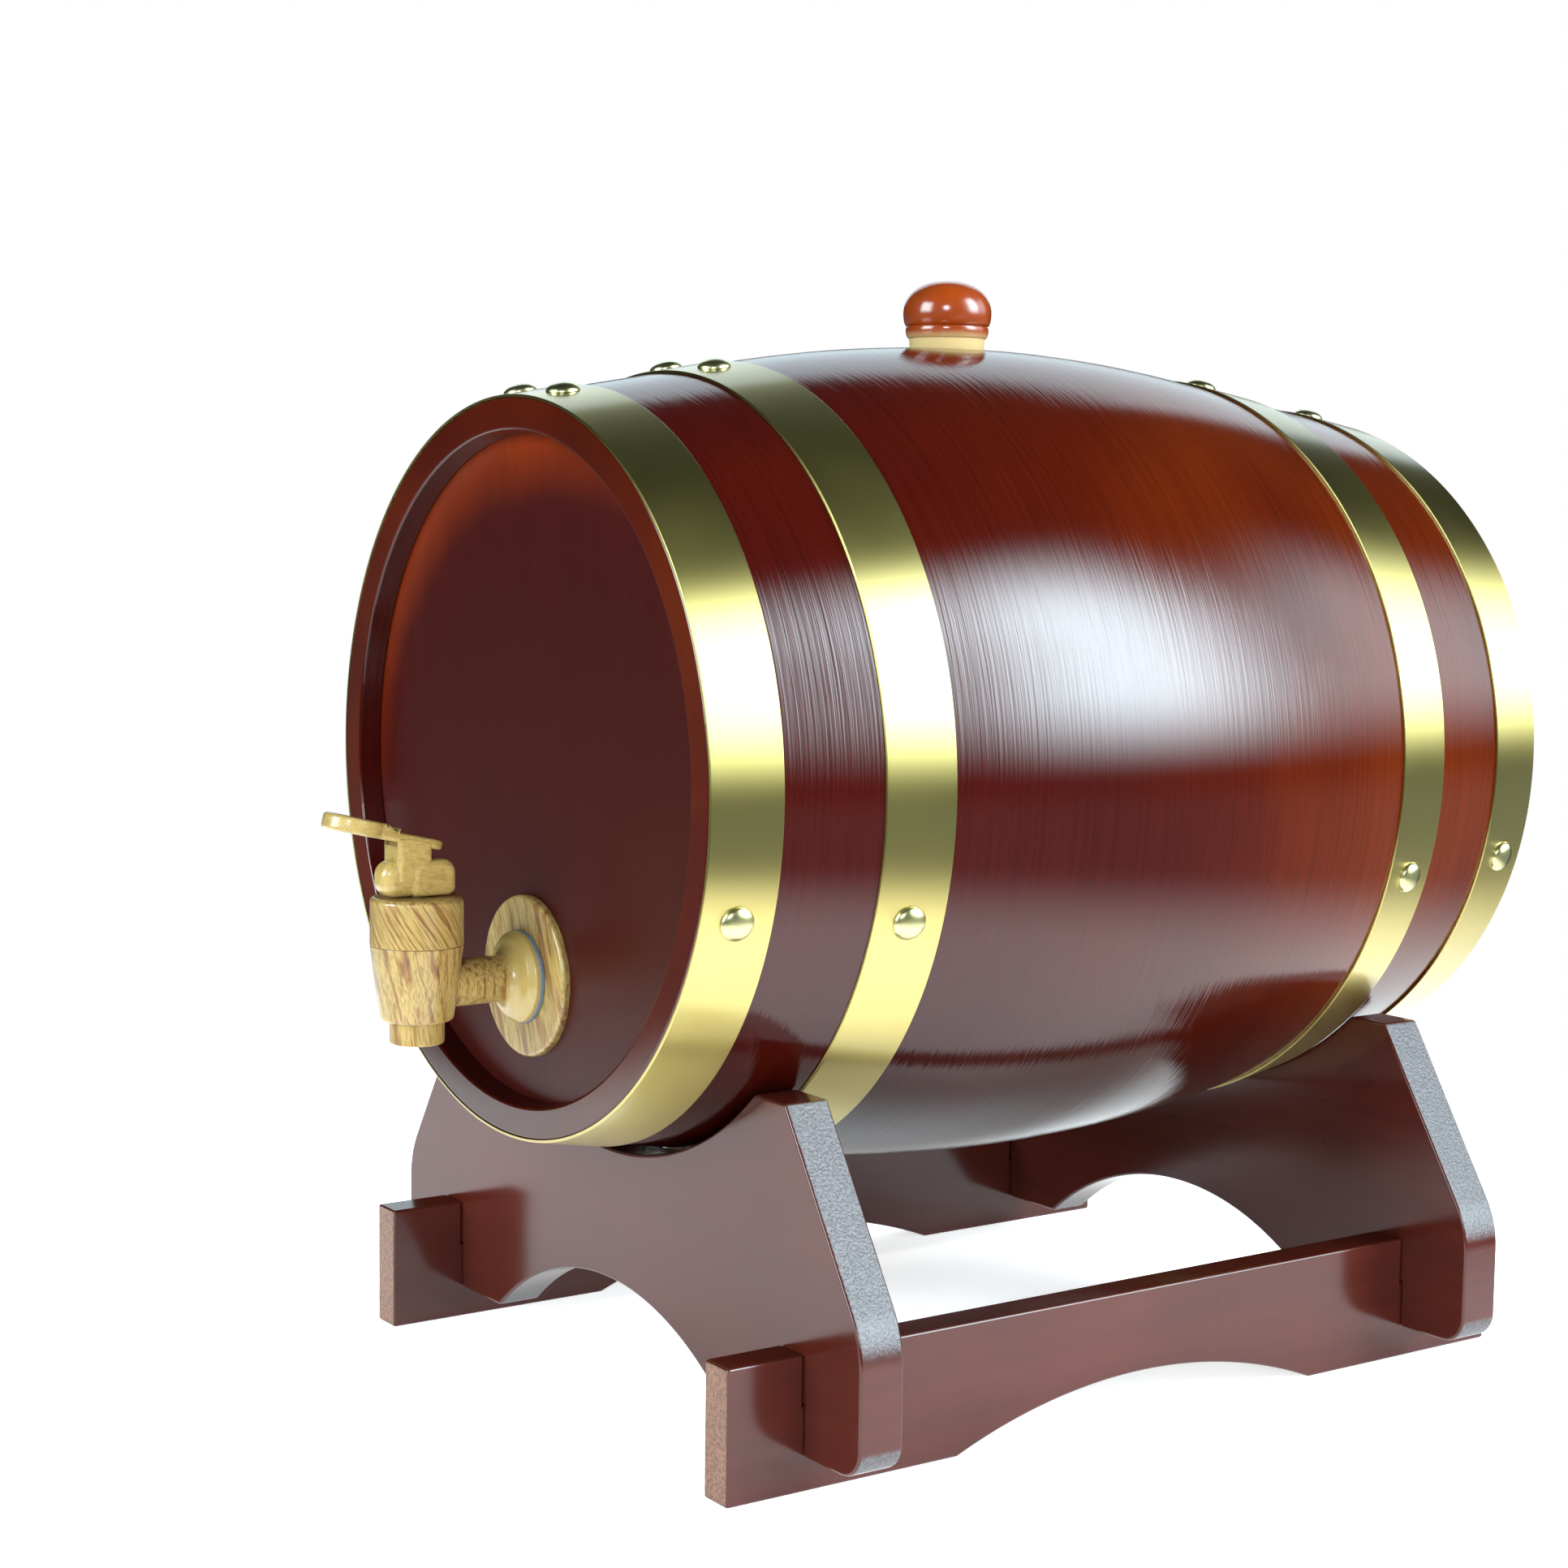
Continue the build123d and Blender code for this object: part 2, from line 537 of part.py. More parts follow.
def make_barrel_parts():
    """What is made about the barrel's axis, by name."""
    at_valve = Pos(0, VALVE_Y, TAP_Z)
    at_pipe = Pos(0, 0, TAP_Z)
    head = make_head()
    parts = make_staves()
    parts["front_head"] = head - at_pipe * rod_y(SHANK_RADIUS + SHANK_CLEARANCE, -HEAD_FACE, HEAD_THICKNESS)
    parts["back_head"] = mirror(head, Plane.XZ)
    for name, middle in zip(("end", "inner"), HOOP_MIDDLES):
        hoop = make_hoop(middle)
        parts[f"front_{name}_hoop"] = mirror(hoop, Plane.XZ)
        parts[f"back_{name}_hoop"] = hoop
    parts["hoop_nails"] = make_nails()
    parts["bung"] = make_bung()
    parts["tap_body"] = at_valve * make_tap_body()
    parts["tap_disc"] = at_pipe * make_disc()
    parts["tap_gasket"] = at_pipe * washer_y(GASKET_RADIUS, FLANGE_Y, GASKET_THICKNESS)
    parts["tap_inner_gasket"] = at_pipe * washer_y(INNER_GASKET_RADIUS, HEAD_BACK, INNER_GASKET_THICKNESS)
    parts["tap_nut"] = at_pipe * make_nut()
    parts["tap_collar"] = at_valve * make_collar()
    parts["valve_cup"] = at_valve * make_cup()
    parts["valve_stem"] = at_valve * make_stem()
    parts["valve_spring"] = at_valve * make_spring()
    parts["tap_lever"] = at_valve * make_lever()
    return parts


def make_parts():
    """All parts by name, with the origin on the floor under the middle of the whole object's box."""
    parts = {name: Pos(0, 0, AXIS_HEIGHT) * part for name, part in make_barrel_parts().items()}
    cradle = make_cradle()
    rail = make_rail()
    parts["front_cradle"] = cradle
    parts["back_cradle"] = mirror(cradle, Plane.XZ)
    parts["right_rail"] = rail
    parts["left_rail"] = mirror(rail, Plane.YZ)
    front = parts["tap_lever"].bounding_box().min.Y
    shift = -(front + END) / 2
    return {name: Pos(0, shift, 0) * part for name, part in parts.items()}, shift


parts, shift = make_parts()
os.makedirs("parts", exist_ok=True)
for name, part in parts.items():
    export_step(part, f"parts/{name}.step")

print("barrel's middle at y", round(shift, 3))
pipe_height = AXIS_HEIGHT + TAP_Z
print("trunnion axis at y, z", round(VALVE_Y + shift, 3), round(pipe_height + TRUNNION_Z, 3))
print("body rim and collar ceiling at z", round(pipe_height + BODY_RIM, 3), round(pipe_height + COLLAR_CEILING, 3))
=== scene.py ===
import math
from functools import partial

import bmesh
import bpy
from bpy.props import FloatProperty, FloatVectorProperty, IntProperty, PointerProperty
from mathutils import Matrix, Vector


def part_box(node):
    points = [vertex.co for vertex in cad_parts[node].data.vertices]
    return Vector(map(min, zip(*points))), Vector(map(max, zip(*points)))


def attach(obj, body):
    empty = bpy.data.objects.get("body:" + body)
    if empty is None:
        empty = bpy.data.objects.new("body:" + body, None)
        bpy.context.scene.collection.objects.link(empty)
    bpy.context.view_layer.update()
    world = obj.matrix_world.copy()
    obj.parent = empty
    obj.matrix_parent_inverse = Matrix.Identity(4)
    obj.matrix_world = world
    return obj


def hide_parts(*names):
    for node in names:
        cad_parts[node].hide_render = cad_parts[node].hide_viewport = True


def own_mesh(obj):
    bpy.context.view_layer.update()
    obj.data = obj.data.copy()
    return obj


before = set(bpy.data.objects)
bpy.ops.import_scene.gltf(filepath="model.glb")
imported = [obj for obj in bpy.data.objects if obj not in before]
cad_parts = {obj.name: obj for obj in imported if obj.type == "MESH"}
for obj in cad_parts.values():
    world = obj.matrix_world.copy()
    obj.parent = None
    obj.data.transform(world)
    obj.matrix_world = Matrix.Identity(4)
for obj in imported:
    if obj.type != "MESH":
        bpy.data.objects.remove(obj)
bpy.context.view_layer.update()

bl_info = {
    "name": "Wine barrel on a stand",
    "version": (1, 0, 0),
    "blender": (4, 5, 0),
    "location": "3D View > Sidebar > Barrel",
    "description": "Dresses the barrel, its hoops, bung, tap and stand, and sets the studio round them",
    "category": "Object",
}

FULL_TURN = 2 * math.pi


# Sizes and colours that a user may change

def linear(hex_colour):
    """An sRGB hex colour as linear red, green, blue and alpha."""
    shares = [int(hex_colour[i:i + 2], 16) / 255 for i in (1, 3, 5)]
    return (*[s / 12.92 if s <= 0.04045 else ((s + 0.055) / 1.055) ** 2.4 for s in shares], 1.0)


def length(name, description, metres):
    """A length property, shown in the scene's unit."""
    return FloatProperty(
        name=name, description=description, default=metres, min=0.0, unit="LENGTH", subtype="DISTANCE"
    )


def slope(name, description, degrees):
    """An angle property."""
    return FloatProperty(
        name=name, description=description, default=math.radians(degrees), unit="ROTATION", subtype="ANGLE"
    )


def colour(name, description, hex_colour):
    """A colour property with an sRGB hex default."""
    shade = linear(hex_colour)
    return FloatVectorProperty(
        name=name, description=description, default=shade, size=4, min=0.0, max=1.0, subtype="COLOR"
    )


class BarrelSizes(bpy.types.PropertyGroup):
    """Sizes of the staves, heads, hoops, nails and bung."""

    half_length: length("Half length", "From the barrel's middle to a stave's end", 0.165)
    belly_radius: length("Belly radius", "Outside radius at the barrel's middle", 0.1332)
    bent_half: length("Bent half length", "How far a stave is bent each way from its middle", 0.082)
    stave_slope: slope("Stave slope", "Angle of a stave's straight ends to the axis", 9.5)
    stave_count: IntProperty(name="Staves", description="Number of staves in the ring", default=16, min=3)
    stave_thickness: length("Stave thickness", "Thickness of a stave's board", 0.0145)
    chime_wall: length("Chime wall", "Thickness of the ring that the stave ends form", 0.0097)
    chime_taper: length("Chime taper", "How much the ring narrows down to the head", 0.001)
    end_rounding: length("End rounding", "Sanded rounding on the stave ends", 0.0011)
    head_recess: length("Head recess", "Depth of a head under the stave ends", 0.0075)
    croze_width: length("Croze width", "Width of the groove that holds a head", 0.004)
    croze_depth: length("Croze depth", "Depth of the groove that holds a head", 0.0036)
    hoop_width: length("Hoop width", "Width of a hoop's strip", 0.022)
    hoop_thickness: length("Hoop thickness", "Thickness of a hoop's strip", 0.0008)
    hoop_gap: length("Hoop gap", "Clearance between a hoop and the staves", 0.00005)
    inner_hoop: length("Inner hoop", "From the barrel's middle to an inner hoop's middle", 0.101)
    nail_radius: length("Nail radius", "Radius of a nail's head", 0.0052)
    nail_height: length("Nail height", "Height of a nail's head", 0.0026)
    bung_radius: length("Bung radius", "Radius of the bung's plug under its bead", 0.01255)
    bung_gap: length("Bung gap", "Clearance between the plug and its hole", 0.0003)
    plug_length: length("Plug length", "Length of the bung's plug", 0.026)
    plug_proud: length("Plug proud", "How far the bare plug stands out of the stave", 0.0032)
    bead_height: length("Bead height", "Height of the bead under the knob", 0.004)
    groove_radius: length("Groove radius", "Radius of the groove between bead and knob", 0.01325)
    knob_radius: length("Knob radius", "Widest radius of the bung's knob", 0.0146)
    knob_skirt: length("Knob skirt", "Height of the knob under its widest place", 0.0042)
    knob_crown: length("Knob crown", "Height of the knob over its widest place", 0.0107)
    axis_height: length("Axis height", "Height of the barrel's axis over the floor", 0.2002)


class TapSizes(bpy.types.PropertyGroup):
    """Sizes of the tap."""

    valve_reach: length("Valve reach", "From the head's face to the valve's axis", 0.0385)
    pipe_drop: length("Pipe drop", "From the barrel's axis down to the pipe's axis", 0.0639)
    collar_radius: length("Collar radius", "Outside radius of the collar and of the body under it", 0.014)
    collar_height: length("Collar height", "Height of the collar", 0.0145)
    collar_wall: length("Collar wall", "Thickness of the collar's wall", 0.0021)
    body_foot_radius: length("Foot radius", "Radius of the tapered body at its foot", 0.011)
    spout_radius: length("Spout radius", "Outside radius of the spout", 0.0083)
    spout_bore: length("Spout bore", "Inside radius of the spout", 0.005)
    pipe_radius: length("Pipe radius", "Outside radius of the pipe", 0.0072)
    flange_radius: length("Flange radius", "Radius of the flange on the pipe", 0.0142)
    plate_radius: length("Plate radius", "Radius of the round plate on the head", 0.025)
    plate_thickness: length("Plate thickness", "Thickness of the round plate", 0.0025)
    gasket_radius: length("Gasket radius", "Radius of the grey gasket", 0.0144)
    gasket_thickness: length("Gasket thickness", "Thickness of the grey gasket", 0.0015)
    shank_hole: length("Shank hole", "Radius of the hole in the plate and the gasket", 0.0082)
    foot_gap: length("Foot gap", "Clearance between the collar and the lever's foot", 0.0003)
    foot_width: length("Foot width", "Width of the lever's foot", 0.0124)
    foot_length: length("Foot length", "Length of the lever's foot", 0.0212)
    foot_height: length("Foot height", "Height of the lever's foot", 0.011)
    nose_reach: length("Nose reach", "How far the foot's narrow nose stands out of it", 0.0024)
    neck_width: length("Neck width", "Width of the lever's neck", 0.011)
    neck_front: length("Neck front", "From the valve's axis to the neck's front", 0.0085)
    arm_back: length("Arm back", "From the valve's axis to the arm's round end and the neck's back", 0.0027)
    arm_width: length("Arm width", "Width of the lever's arm", 0.010)
    arm_thickness: length("Arm thickness", "Thickness of the lever's arm", 0.003)
    arm_height: length("Arm height", "On the valve's axis, from the foot's sole up to the arm", 0.0148)
    arm_tilt: slope("Arm tilt", "Angle of the arm, up towards the front", 13.2)
    paddle_radius: length("Paddle radius", "Radius of the lever's round thumb paddle", 0.009)
    paddle_reach: length("Paddle reach", "Along the arm from the valve's axis to the paddle's middle", 0.0222)
    paddle_rise: length("Paddle rise", "How much thicker the paddle is than the arm", 0.0018)


class StandSizes(bpy.types.PropertyGroup):
    """Sizes of the cradles and rails."""

    cradle_thickness: length("Cradle thickness", "Thickness of a cradle's board", 0.015)
    cradle_face: length("Cradle face", "From the barrel's middle to a cradle's outer face", 0.1289)
    cradle_half_width: length("Cradle half width", "Half the width of a cradle", 0.1371)
    cradle_underside: length("Cradle underside", "Height of a cradle's lower edge", 0.0105)
    corner_rounding: length("Corner rounding", "Radius of a cradle's lower corners", 0.009)
    knee_height: length("Knee height", "Height where a cradle's edge starts to slope", 0.050)
    knee_rounding: length("Knee rounding", "Radius at the knee", 0.030)
    horn_height: length("Horn height", "Height of a cradle's flat tips", 0.111)
    horn_outer: length("Horn outer", "From the middle to the outer corner of a tip", 0.0982)
    seat_gap: length("Seat gap", "Clearance between the barrel and its seat", 0.0003)
    arch_radius: length("Arch radius", "Radius of the arch under a cradle", 0.108)
    arch_crown: length("Arch crown", "Height of the arch's crown", 0.037)
    rail_half_length: length("Rail half length", "Half the length of a rail", 0.155)
    rail_thickness: length("Rail thickness", "Thickness of a rail's board", 0.012)
    rail_height: length("Rail height", "Height of a rail", 0.0405)
    rail_face: length("Rail face", "From the middle to a rail's outer face", 0.1096)
    rail_arch_radius: length("Rail arch radius", "Radius of the arch under a rail", 0.193)
    rail_arch_crown: length("Rail arch crown", "Height of that arch's crown", 0.0142)
    lap_height: length("Lap height", "Height where the two halves of a lap joint meet", 0.0255)
    lap_gap: length("Lap gap", "Clearance in a lap joint", 0.0001)
    edge_rounding: length("Edge rounding", "Sanded rounding on the boards' edges", 0.0009)


class Colours(bpy.types.PropertyGroup):
    """Colours of the finishes."""

    stain_dark: colour("Dark stain", "Mahogany stain where it lies thick", "#390905")
    stain_red: colour("Red stain", "Mahogany stain on the staves", "#450f03")
    stain_orange: colour("Orange stain", "Mahogany stain where it lies thin", "#5a1d03")
    head_dark: colour("Dark head", "Stain on the middle of a head", "#350a05")
    # The glowing head colour is painted light: the colour where the light falls near a head's upper left rim.
    head_rim_light: colour("Glowing head", "Stain where it lies thin on a head", "#762603")
    stand_stain: colour("Stand stain", "Stain on the stand's boards", "#43170f")
    stand_end: colour("Rail ends", "Stain on the rails' sawn ends", "#8a5f48")
    # The cradles' end colour is a light grey that is partly painted reflection: it stands in for the sheen of
    # the light on the sloping sawn ends.
    slope_end_and_sheen: colour("Cradle ends", "Stain on the cradles' sloping sawn ends", "#59595d")
    brass: colour("Brass", "Rolled brass of the hoops", "#cfbc6e")
    nail_brass: colour("Nail brass", "Brass of the nail heads", "#dcd396")
    bung_stain: colour("Bung stain", "Stain on the bung's knob", "#8c3608")
    bung_bare: colour("Bare bung", "Bare wood of the bung's plug", "#bba270")
    grain_pale: colour("Pale print", "Pale ground of the printed grain", "#ad9255")
    grain_brown: colour("Brown print", "Brown streaks of the printed grain", "#8a5f2d")
    grain_purple: colour("Purple print", "Purplish streaks of the printed grain", "#6d4f3a")
    plain_plastic: colour("Plain plastic", "Unprinted plastic of flange and lever foot", "#b69c58")
    gasket: colour("Gasket", "Grey rubber of the gasket", "#6f7a86")
    cup: colour("Valve rubber", "Black rubber of the valve cup", "#1b1b1d")
    steel: colour("Spring steel", "Steel of the return spring", "#b8bcc2")


# Mesh tools

def rounded(corners, degrees=9.0):
    """A closed outline from corners (u, v, radius), with an arc at each corner that has a radius."""
    outline = []
    for index, (u, v, radius) in enumerate(corners):
        here = Vector((u, v))
        to_last = (Vector(corners[index - 1][:2]) - here).normalized()
        to_next = (Vector(corners[(index + 1) % len(corners)][:2]) - here).normalized()
        angle = to_last.angle(to_next)
        if radius <= 0 or angle > math.pi - 1e-4:
            outline.append((u, v))
            continue
        turn = math.pi - angle
        centre = here + (to_last + to_next).normalized() * (radius / math.sin(angle / 2))
        start = here + to_last * (radius / math.tan(angle / 2)) - centre
        side = 1.0 if to_last.cross(to_next) < 0 else -1.0
        steps = max(2, round(math.degrees(turn) / degrees))
        for step in range(steps + 1):
            a = side * turn * step / steps
            outline.append((
                centre.x + start.x * math.cos(a) - start.y * math.sin(a),
                centre.y + start.x * math.sin(a) + start.y * math.cos(a),
            ))
    return outline


def arc(centre_u, centre_v, radius, start, finish, steps):
    """Points (u, v, 0) on an arc, for an outline's corners. Angles in degrees."""
    found = []
    for step in range(steps + 1):
        a = math.radians(start + (finish - start) * step / steps)
        found.append((centre_u + radius * math.cos(a), centre_v + radius * math.sin(a), 0.0))
    return found


def box_section(radius, low, high):
    """The half section (radius, z) of a plain cylinder."""
    return [(0.0, low), (radius, low), (radius, high), (0.0, high)]


def turned(outline, segments, place=Matrix(), start=0.0, sweep=FULL_TURN):
    """A closed solid turned about Z from a closed outline of (radius, z), then put in place."""
    bm = bmesh.new()
    whole = sweep > FULL_TURN - 1e-6
    count = segments if whole else segments + 1
    angles = [start + sweep * k / segments for k in range(count)]
    rings = []
    for radius, z in outline:
        if radius < 1e-8:
            rings.append([bm.verts.new((0.0, 0.0, z))] * count)
        else:
            rings.append([bm.verts.new((radius * math.cos(a), radius * math.sin(a), z)) for a in angles])
    for low, high in zip(rings, rings[1:] + rings[:1]):
        for k in range(segments):
            n = (k + 1) % count
            corners = list(dict.fromkeys((low[k], low[n], high[n], high[k])))
            if len(corners) > 2:
                bm.faces.new(corners)
    if not whole:
        bm.faces.new([ring[0] for ring in rings])
        bm.faces.new([ring[-1] for ring in rings])
    bmesh.ops.recalc_face_normals(bm, faces=bm.faces)
    bm.transform(place)
    return bm


def bevelled(bm, edges, width, segments):
    """Rounds those edges."""
    bmesh.ops.bevel(
        bm, geom=edges, offset=width, segments=segments, profile=0.5, affect="EDGES", clamp_overlap=True
    )


def board(outline, thickness, place, rounding=0.0, segments=3):
    """A board sawn to an outline of (u, v), standing on Z = 0, with all its sharp edges rounded."""
    bm = bmesh.new()
    face = bm.faces.new([bm.verts.new((u, v, 0.0)) for u, v in outline])
    raised = bmesh.ops.extrude_face_region(bm, geom=[face])["geom"]
    corners = [part for part in raised if isinstance(part, bmesh.types.BMVert)]
    bmesh.ops.translate(bm, vec=(0, 0, thickness), verts=corners)
    bmesh.ops.recalc_face_normals(bm, faces=bm.faces)
    if rounding:
        bevelled(bm, [e for e in bm.edges if e.calc_face_angle(0.0) > math.radians(25)], rounding, segments)
    bm.transform(place)
    return bm


def split_across(bm, at, normal, **options):
    """Cuts all the faces of a mesh along a plane."""
    everything = bm.verts[:] + bm.edges[:] + bm.faces[:]
    bmesh.ops.bisect_plane(bm, geom=everything, plane_co=at, plane_no=normal, **options)


def as_object(name, shape):
    """A new object with that mesh, in the scene."""
    mesh = shape
    if isinstance(shape, bmesh.types.BMesh):
        mesh = bpy.data.meshes.new(name)
        shape.to_mesh(mesh)
        shape.free()
    made = bpy.data.objects.new(name, mesh)
    bpy.context.scene.collection.objects.link(made)
    return made


def applied(piece):
    """Turns what a piece's modifiers make of it into its own plain mesh."""
    bpy.context.view_layer.update()
    made = bpy.data.meshes.new_from_object(piece.evaluated_get(bpy.context.evaluated_depsgraph_get()))
    piece.modifiers.clear()
    old = piece.data
    piece.data = made
    bpy.data.meshes.remove(old)


def combined(base, others, operation):
    """The base object with the other meshes joined to it, or cut from it."""
    for other in others:
        tool = as_object("tool", other)
        cut = base.modifiers.new("cut", "BOOLEAN")
        cut.operation = operation
        cut.solver = "EXACT"
        cut.object = tool
        applied(base)
        bpy.data.meshes.remove(tool.data)


def shaded(mesh, crease, true_normal=None):
    """Gives the mesh normals that keep its flat faces flat and its roundings smooth. true_normal, where
    given, returns the surface's exact normal at a point of a face, or None."""
    bm = bmesh.new()
    bm.from_mesh(mesh)
    limit = math.cos(math.radians(crease))
    areas = [face.calc_area() for face in bm.faces]
    normals = []
    for face in bm.faces:
        for loop in face.loops:
            exact = true_normal(loop.vert.co, face) if true_normal else None
            if exact is None:
                exact = Vector()
                for other in loop.vert.link_faces:
                    if face.normal.dot(other.normal) > limit:
                        exact += other.normal * areas[other.index]
            normals.append(exact.normalized())
    bm.free()
    mesh.polygons.foreach_set("use_smooth", [True] * len(mesh.polygons))
    mesh.normals_split_custom_set(normals)


def finished(piece, name, body, material, nodes, crease=38.0, true_normal=None):
    """Names and shades a piece, gives it its material, and sets it on its body in place of CAD nodes. A mesh
    that is no object yet is made one."""
    if isinstance(piece, bmesh.types.BMesh):
        piece = as_object(name, piece)
    piece.name = name
    piece.data.name = name
    piece.data.materials.clear()
    piece.data.materials.append(material)
    shaded(piece.data, crease, true_normal)
    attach(piece, body)
    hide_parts(*nodes)
    return piece


def repaint(node, material):
    """Gives a CAD node's object a better material, in its own slot."""
    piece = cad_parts[node]
    if not piece.material_slots:
        piece.data.materials.append(None)
    piece.material_slots[0].link = "OBJECT"
    piece.material_slots[0].material = material


def along_y(y, z=0.0):
    """Puts a solid turned about Z on a line along Y, its Z becoming +Y, from that place."""
    return Matrix.Translation((0.0, y, z)) @ Matrix.Rotation(-math.pi / 2, 4, "X")


# Materials

def add_node(tree, kind, *values, stops=(), **named):
    """Adds a node to a tree. Its inputs are given in order, or by name with a capital letter, as plain values
    or as what to link, where a node stands for its first output in use. The other names are its settings, and
    stops are a colour ramp's."""
    node = tree.nodes.new(kind)
    for name, value in named.items():
        if name[0].islower():
            setattr(node, name, value)
    given = list(zip([socket for socket in node.inputs if socket.enabled], values))
    for name, value in named.items():
        if name[0].isupper():
            given.append((node.inputs[name.replace("_", " ")], value))
    for socket, value in given:
        if isinstance(value, bpy.types.Node):
            value = next(output for output in value.outputs if output.enabled)
        if isinstance(value, bpy.types.NodeSocket):
            tree.links.new(value, socket)
        else:
            socket.default_value = value
    while stops and len(node.color_ramp.elements) < len(stops):
        node.color_ramp.elements.new(0.5)
    for index, (position, shade) in enumerate(stops):
        node.color_ramp.elements[index].position = position
        node.color_ramp.elements[index].color = shade
    return node


def new_material(name):
    """A material with an empty node tree, and the function that adds nodes to it."""
    made = bpy.data.materials.new(name)
    made.use_nodes = True
    made.node_tree.nodes.clear()
    return made, partial(add_node, made.node_tree)


def dimmed(shade, share):
    """A colour with less light in it."""
    return (*[c * share for c in shade[:3]], 1.0)


def grey(value):
    """A linear grey."""
    return (value, value, value, 1.0)


SMOOTH = {"interpolation_type": "SMOOTHSTEP"}
MIXED = {"data_type": "RGBA"}
MULTIPLIED = {"data_type": "RGBA", "blend_type": "MULTIPLY"}
TEXTURE = {"vector_type": "TEXTURE"}


def lacquered_stave_wood(colours, middle):
    """Oak or pine staves, planed and turned, under mahogany stain and thick gloss lacquer. Gives a deep red
    that thins to orange, fine turning lines round the barrel, and a clear coat's broad soft reflections, with
    painted light on the chimes and towards the back head, and painted shade on the underside."""
    made, add = new_material("stained_staves_gloss_lacquer")
    coords = add("ShaderNodeTexCoord")
    place = coords.outputs["Object"]
    split = add("ShaderNodeSeparateXYZ", place)
    # Turning lines: about 1.1 mm apart along the axis, and long round the barrel.
    lines = add("ShaderNodeMapping", place, Scale=(14.0, 900.0, 14.0))
    line = add("ShaderNodeTexNoise", lines, Scale=1.0, Detail=3.0, Roughness=0.6)
    # Clouds of thinner stain, 60 to 120 mm across, and a lightening towards the back head that is partly
    # thinner stain and partly painted light.
    cloud = add("ShaderNodeTexNoise", place, Scale=9.0, Detail=2.0, Roughness=0.5)
    along = add("ShaderNodeMapRange", split.outputs["Y"], middle - 0.09, middle + 0.09, 0.05, 0.33, **SMOOTH)
    clouds = add("ShaderNodeMath", cloud, 0.6, along, operation="MULTIPLY_ADD")
    # Painted light: the chimes' end faces are made lighter and more orange, as where the light falls on them;
    # thin adds this to the clouds.
    turn_to = add("ShaderNodeSeparateXYZ", coords.outputs["Normal"])
    facing = add("ShaderNodeMath", turn_to.outputs["Y"], operation="ABSOLUTE")
    chime = add("ShaderNodeMapRange", facing, 0.6, 0.85, 0.0, 0.2, **SMOOTH)
    thin = add("ShaderNodeMath", clouds, chime, operation="ADD")
    stains = [(0.36, colours.stain_dark), (0.51, colours.stain_red), (0.66, colours.stain_orange)]
    shade = add("ShaderNodeValToRGB", thin, stops=stains)
    depth = add("ShaderNodeValToRGB", line, stops=[(0.25, grey(0.72)), (0.6, grey(1.0))])
    tint = add("ShaderNodeMix", 1.0, shade, depth, **MULTIPLIED)
    # Painted shade: the staves darken to 0.4 of their colour towards the underside, which lies in shadow;
    # thick is the colour with that shade.
    under = add("ShaderNodeMapRange", split.outputs["Z"], 0.165, 0.095, 1.0, 0.4, **SMOOTH)
    thick = add("ShaderNodeMix", 1.0, tint, under, **MULTIPLIED)
    bump = add("ShaderNodeBump", Strength=0.4, Distance=0.0002, Height=line)
    skin = add(
        "ShaderNodeBsdfPrincipled", Base_Color=thick, Roughness=0.6, IOR=1.5, Specular_IOR_Level=0.0,
        Normal=bump, Coat_Weight=1.0, Coat_Roughness=0.11, Coat_IOR=1.5, Coat_Normal=bump,
    )
    add("ShaderNodeOutputMaterial", Surface=skin)
    return made


def lacquered_head_wood(colours, middle):
    """Flat head boards, sanded, under the same stain and lacquer. Gives a smooth dark red face with painted
    light that glows orange towards the upper left rim."""
    made, add = new_material("stained_head_gloss_lacquer")
    place = add("ShaderNodeTexCoord").outputs["Object"]
    grain = add("ShaderNodeMapping", place, Scale=(260.0, 1.0, 10.0))
    line = add("ShaderNodeTexNoise", grain, Scale=1.0, Detail=4.0, Roughness=0.55)
    cloud = add("ShaderNodeTexNoise", place, Scale=14.0, Detail=2.0, Roughness=0.5)
    # Painted light: the head lightens to orange in a ring near the rim, strongest at the upper left of the
    # front head, where the light falls.
    away = add("ShaderNodeVectorMath", place, (0.012, middle, 0.165), operation="SUBTRACT")
    flat = add("ShaderNodeVectorMath", away, (1.0, 0.0, 1.0), operation="MULTIPLY")
    far = add("ShaderNodeVectorMath", flat, operation="LENGTH")
    mixed = add("ShaderNodeMath", cloud, 0.035, far, operation="MULTIPLY_ADD")
    stains = [(0.108, colours.head_dark), (0.134, colours.stain_dark), (0.158, colours.head_rim_light)]
    shade = add("ShaderNodeValToRGB", mixed, stops=stains)
    depth = add("ShaderNodeValToRGB", line, stops=[(0.25, grey(0.82)), (0.6, grey(1.0))])
    tint = add("ShaderNodeMix", 1.0, shade, depth, **MULTIPLIED)
    skin = add(
        "ShaderNodeBsdfPrincipled", Base_Color=tint, Roughness=0.6, IOR=1.5, Specular_IOR_Level=0.0,
        Coat_Weight=0.8, Coat_Roughness=0.34, Coat_IOR=1.4,
    )
    add("ShaderNodeOutputMaterial", Surface=skin)
    return made


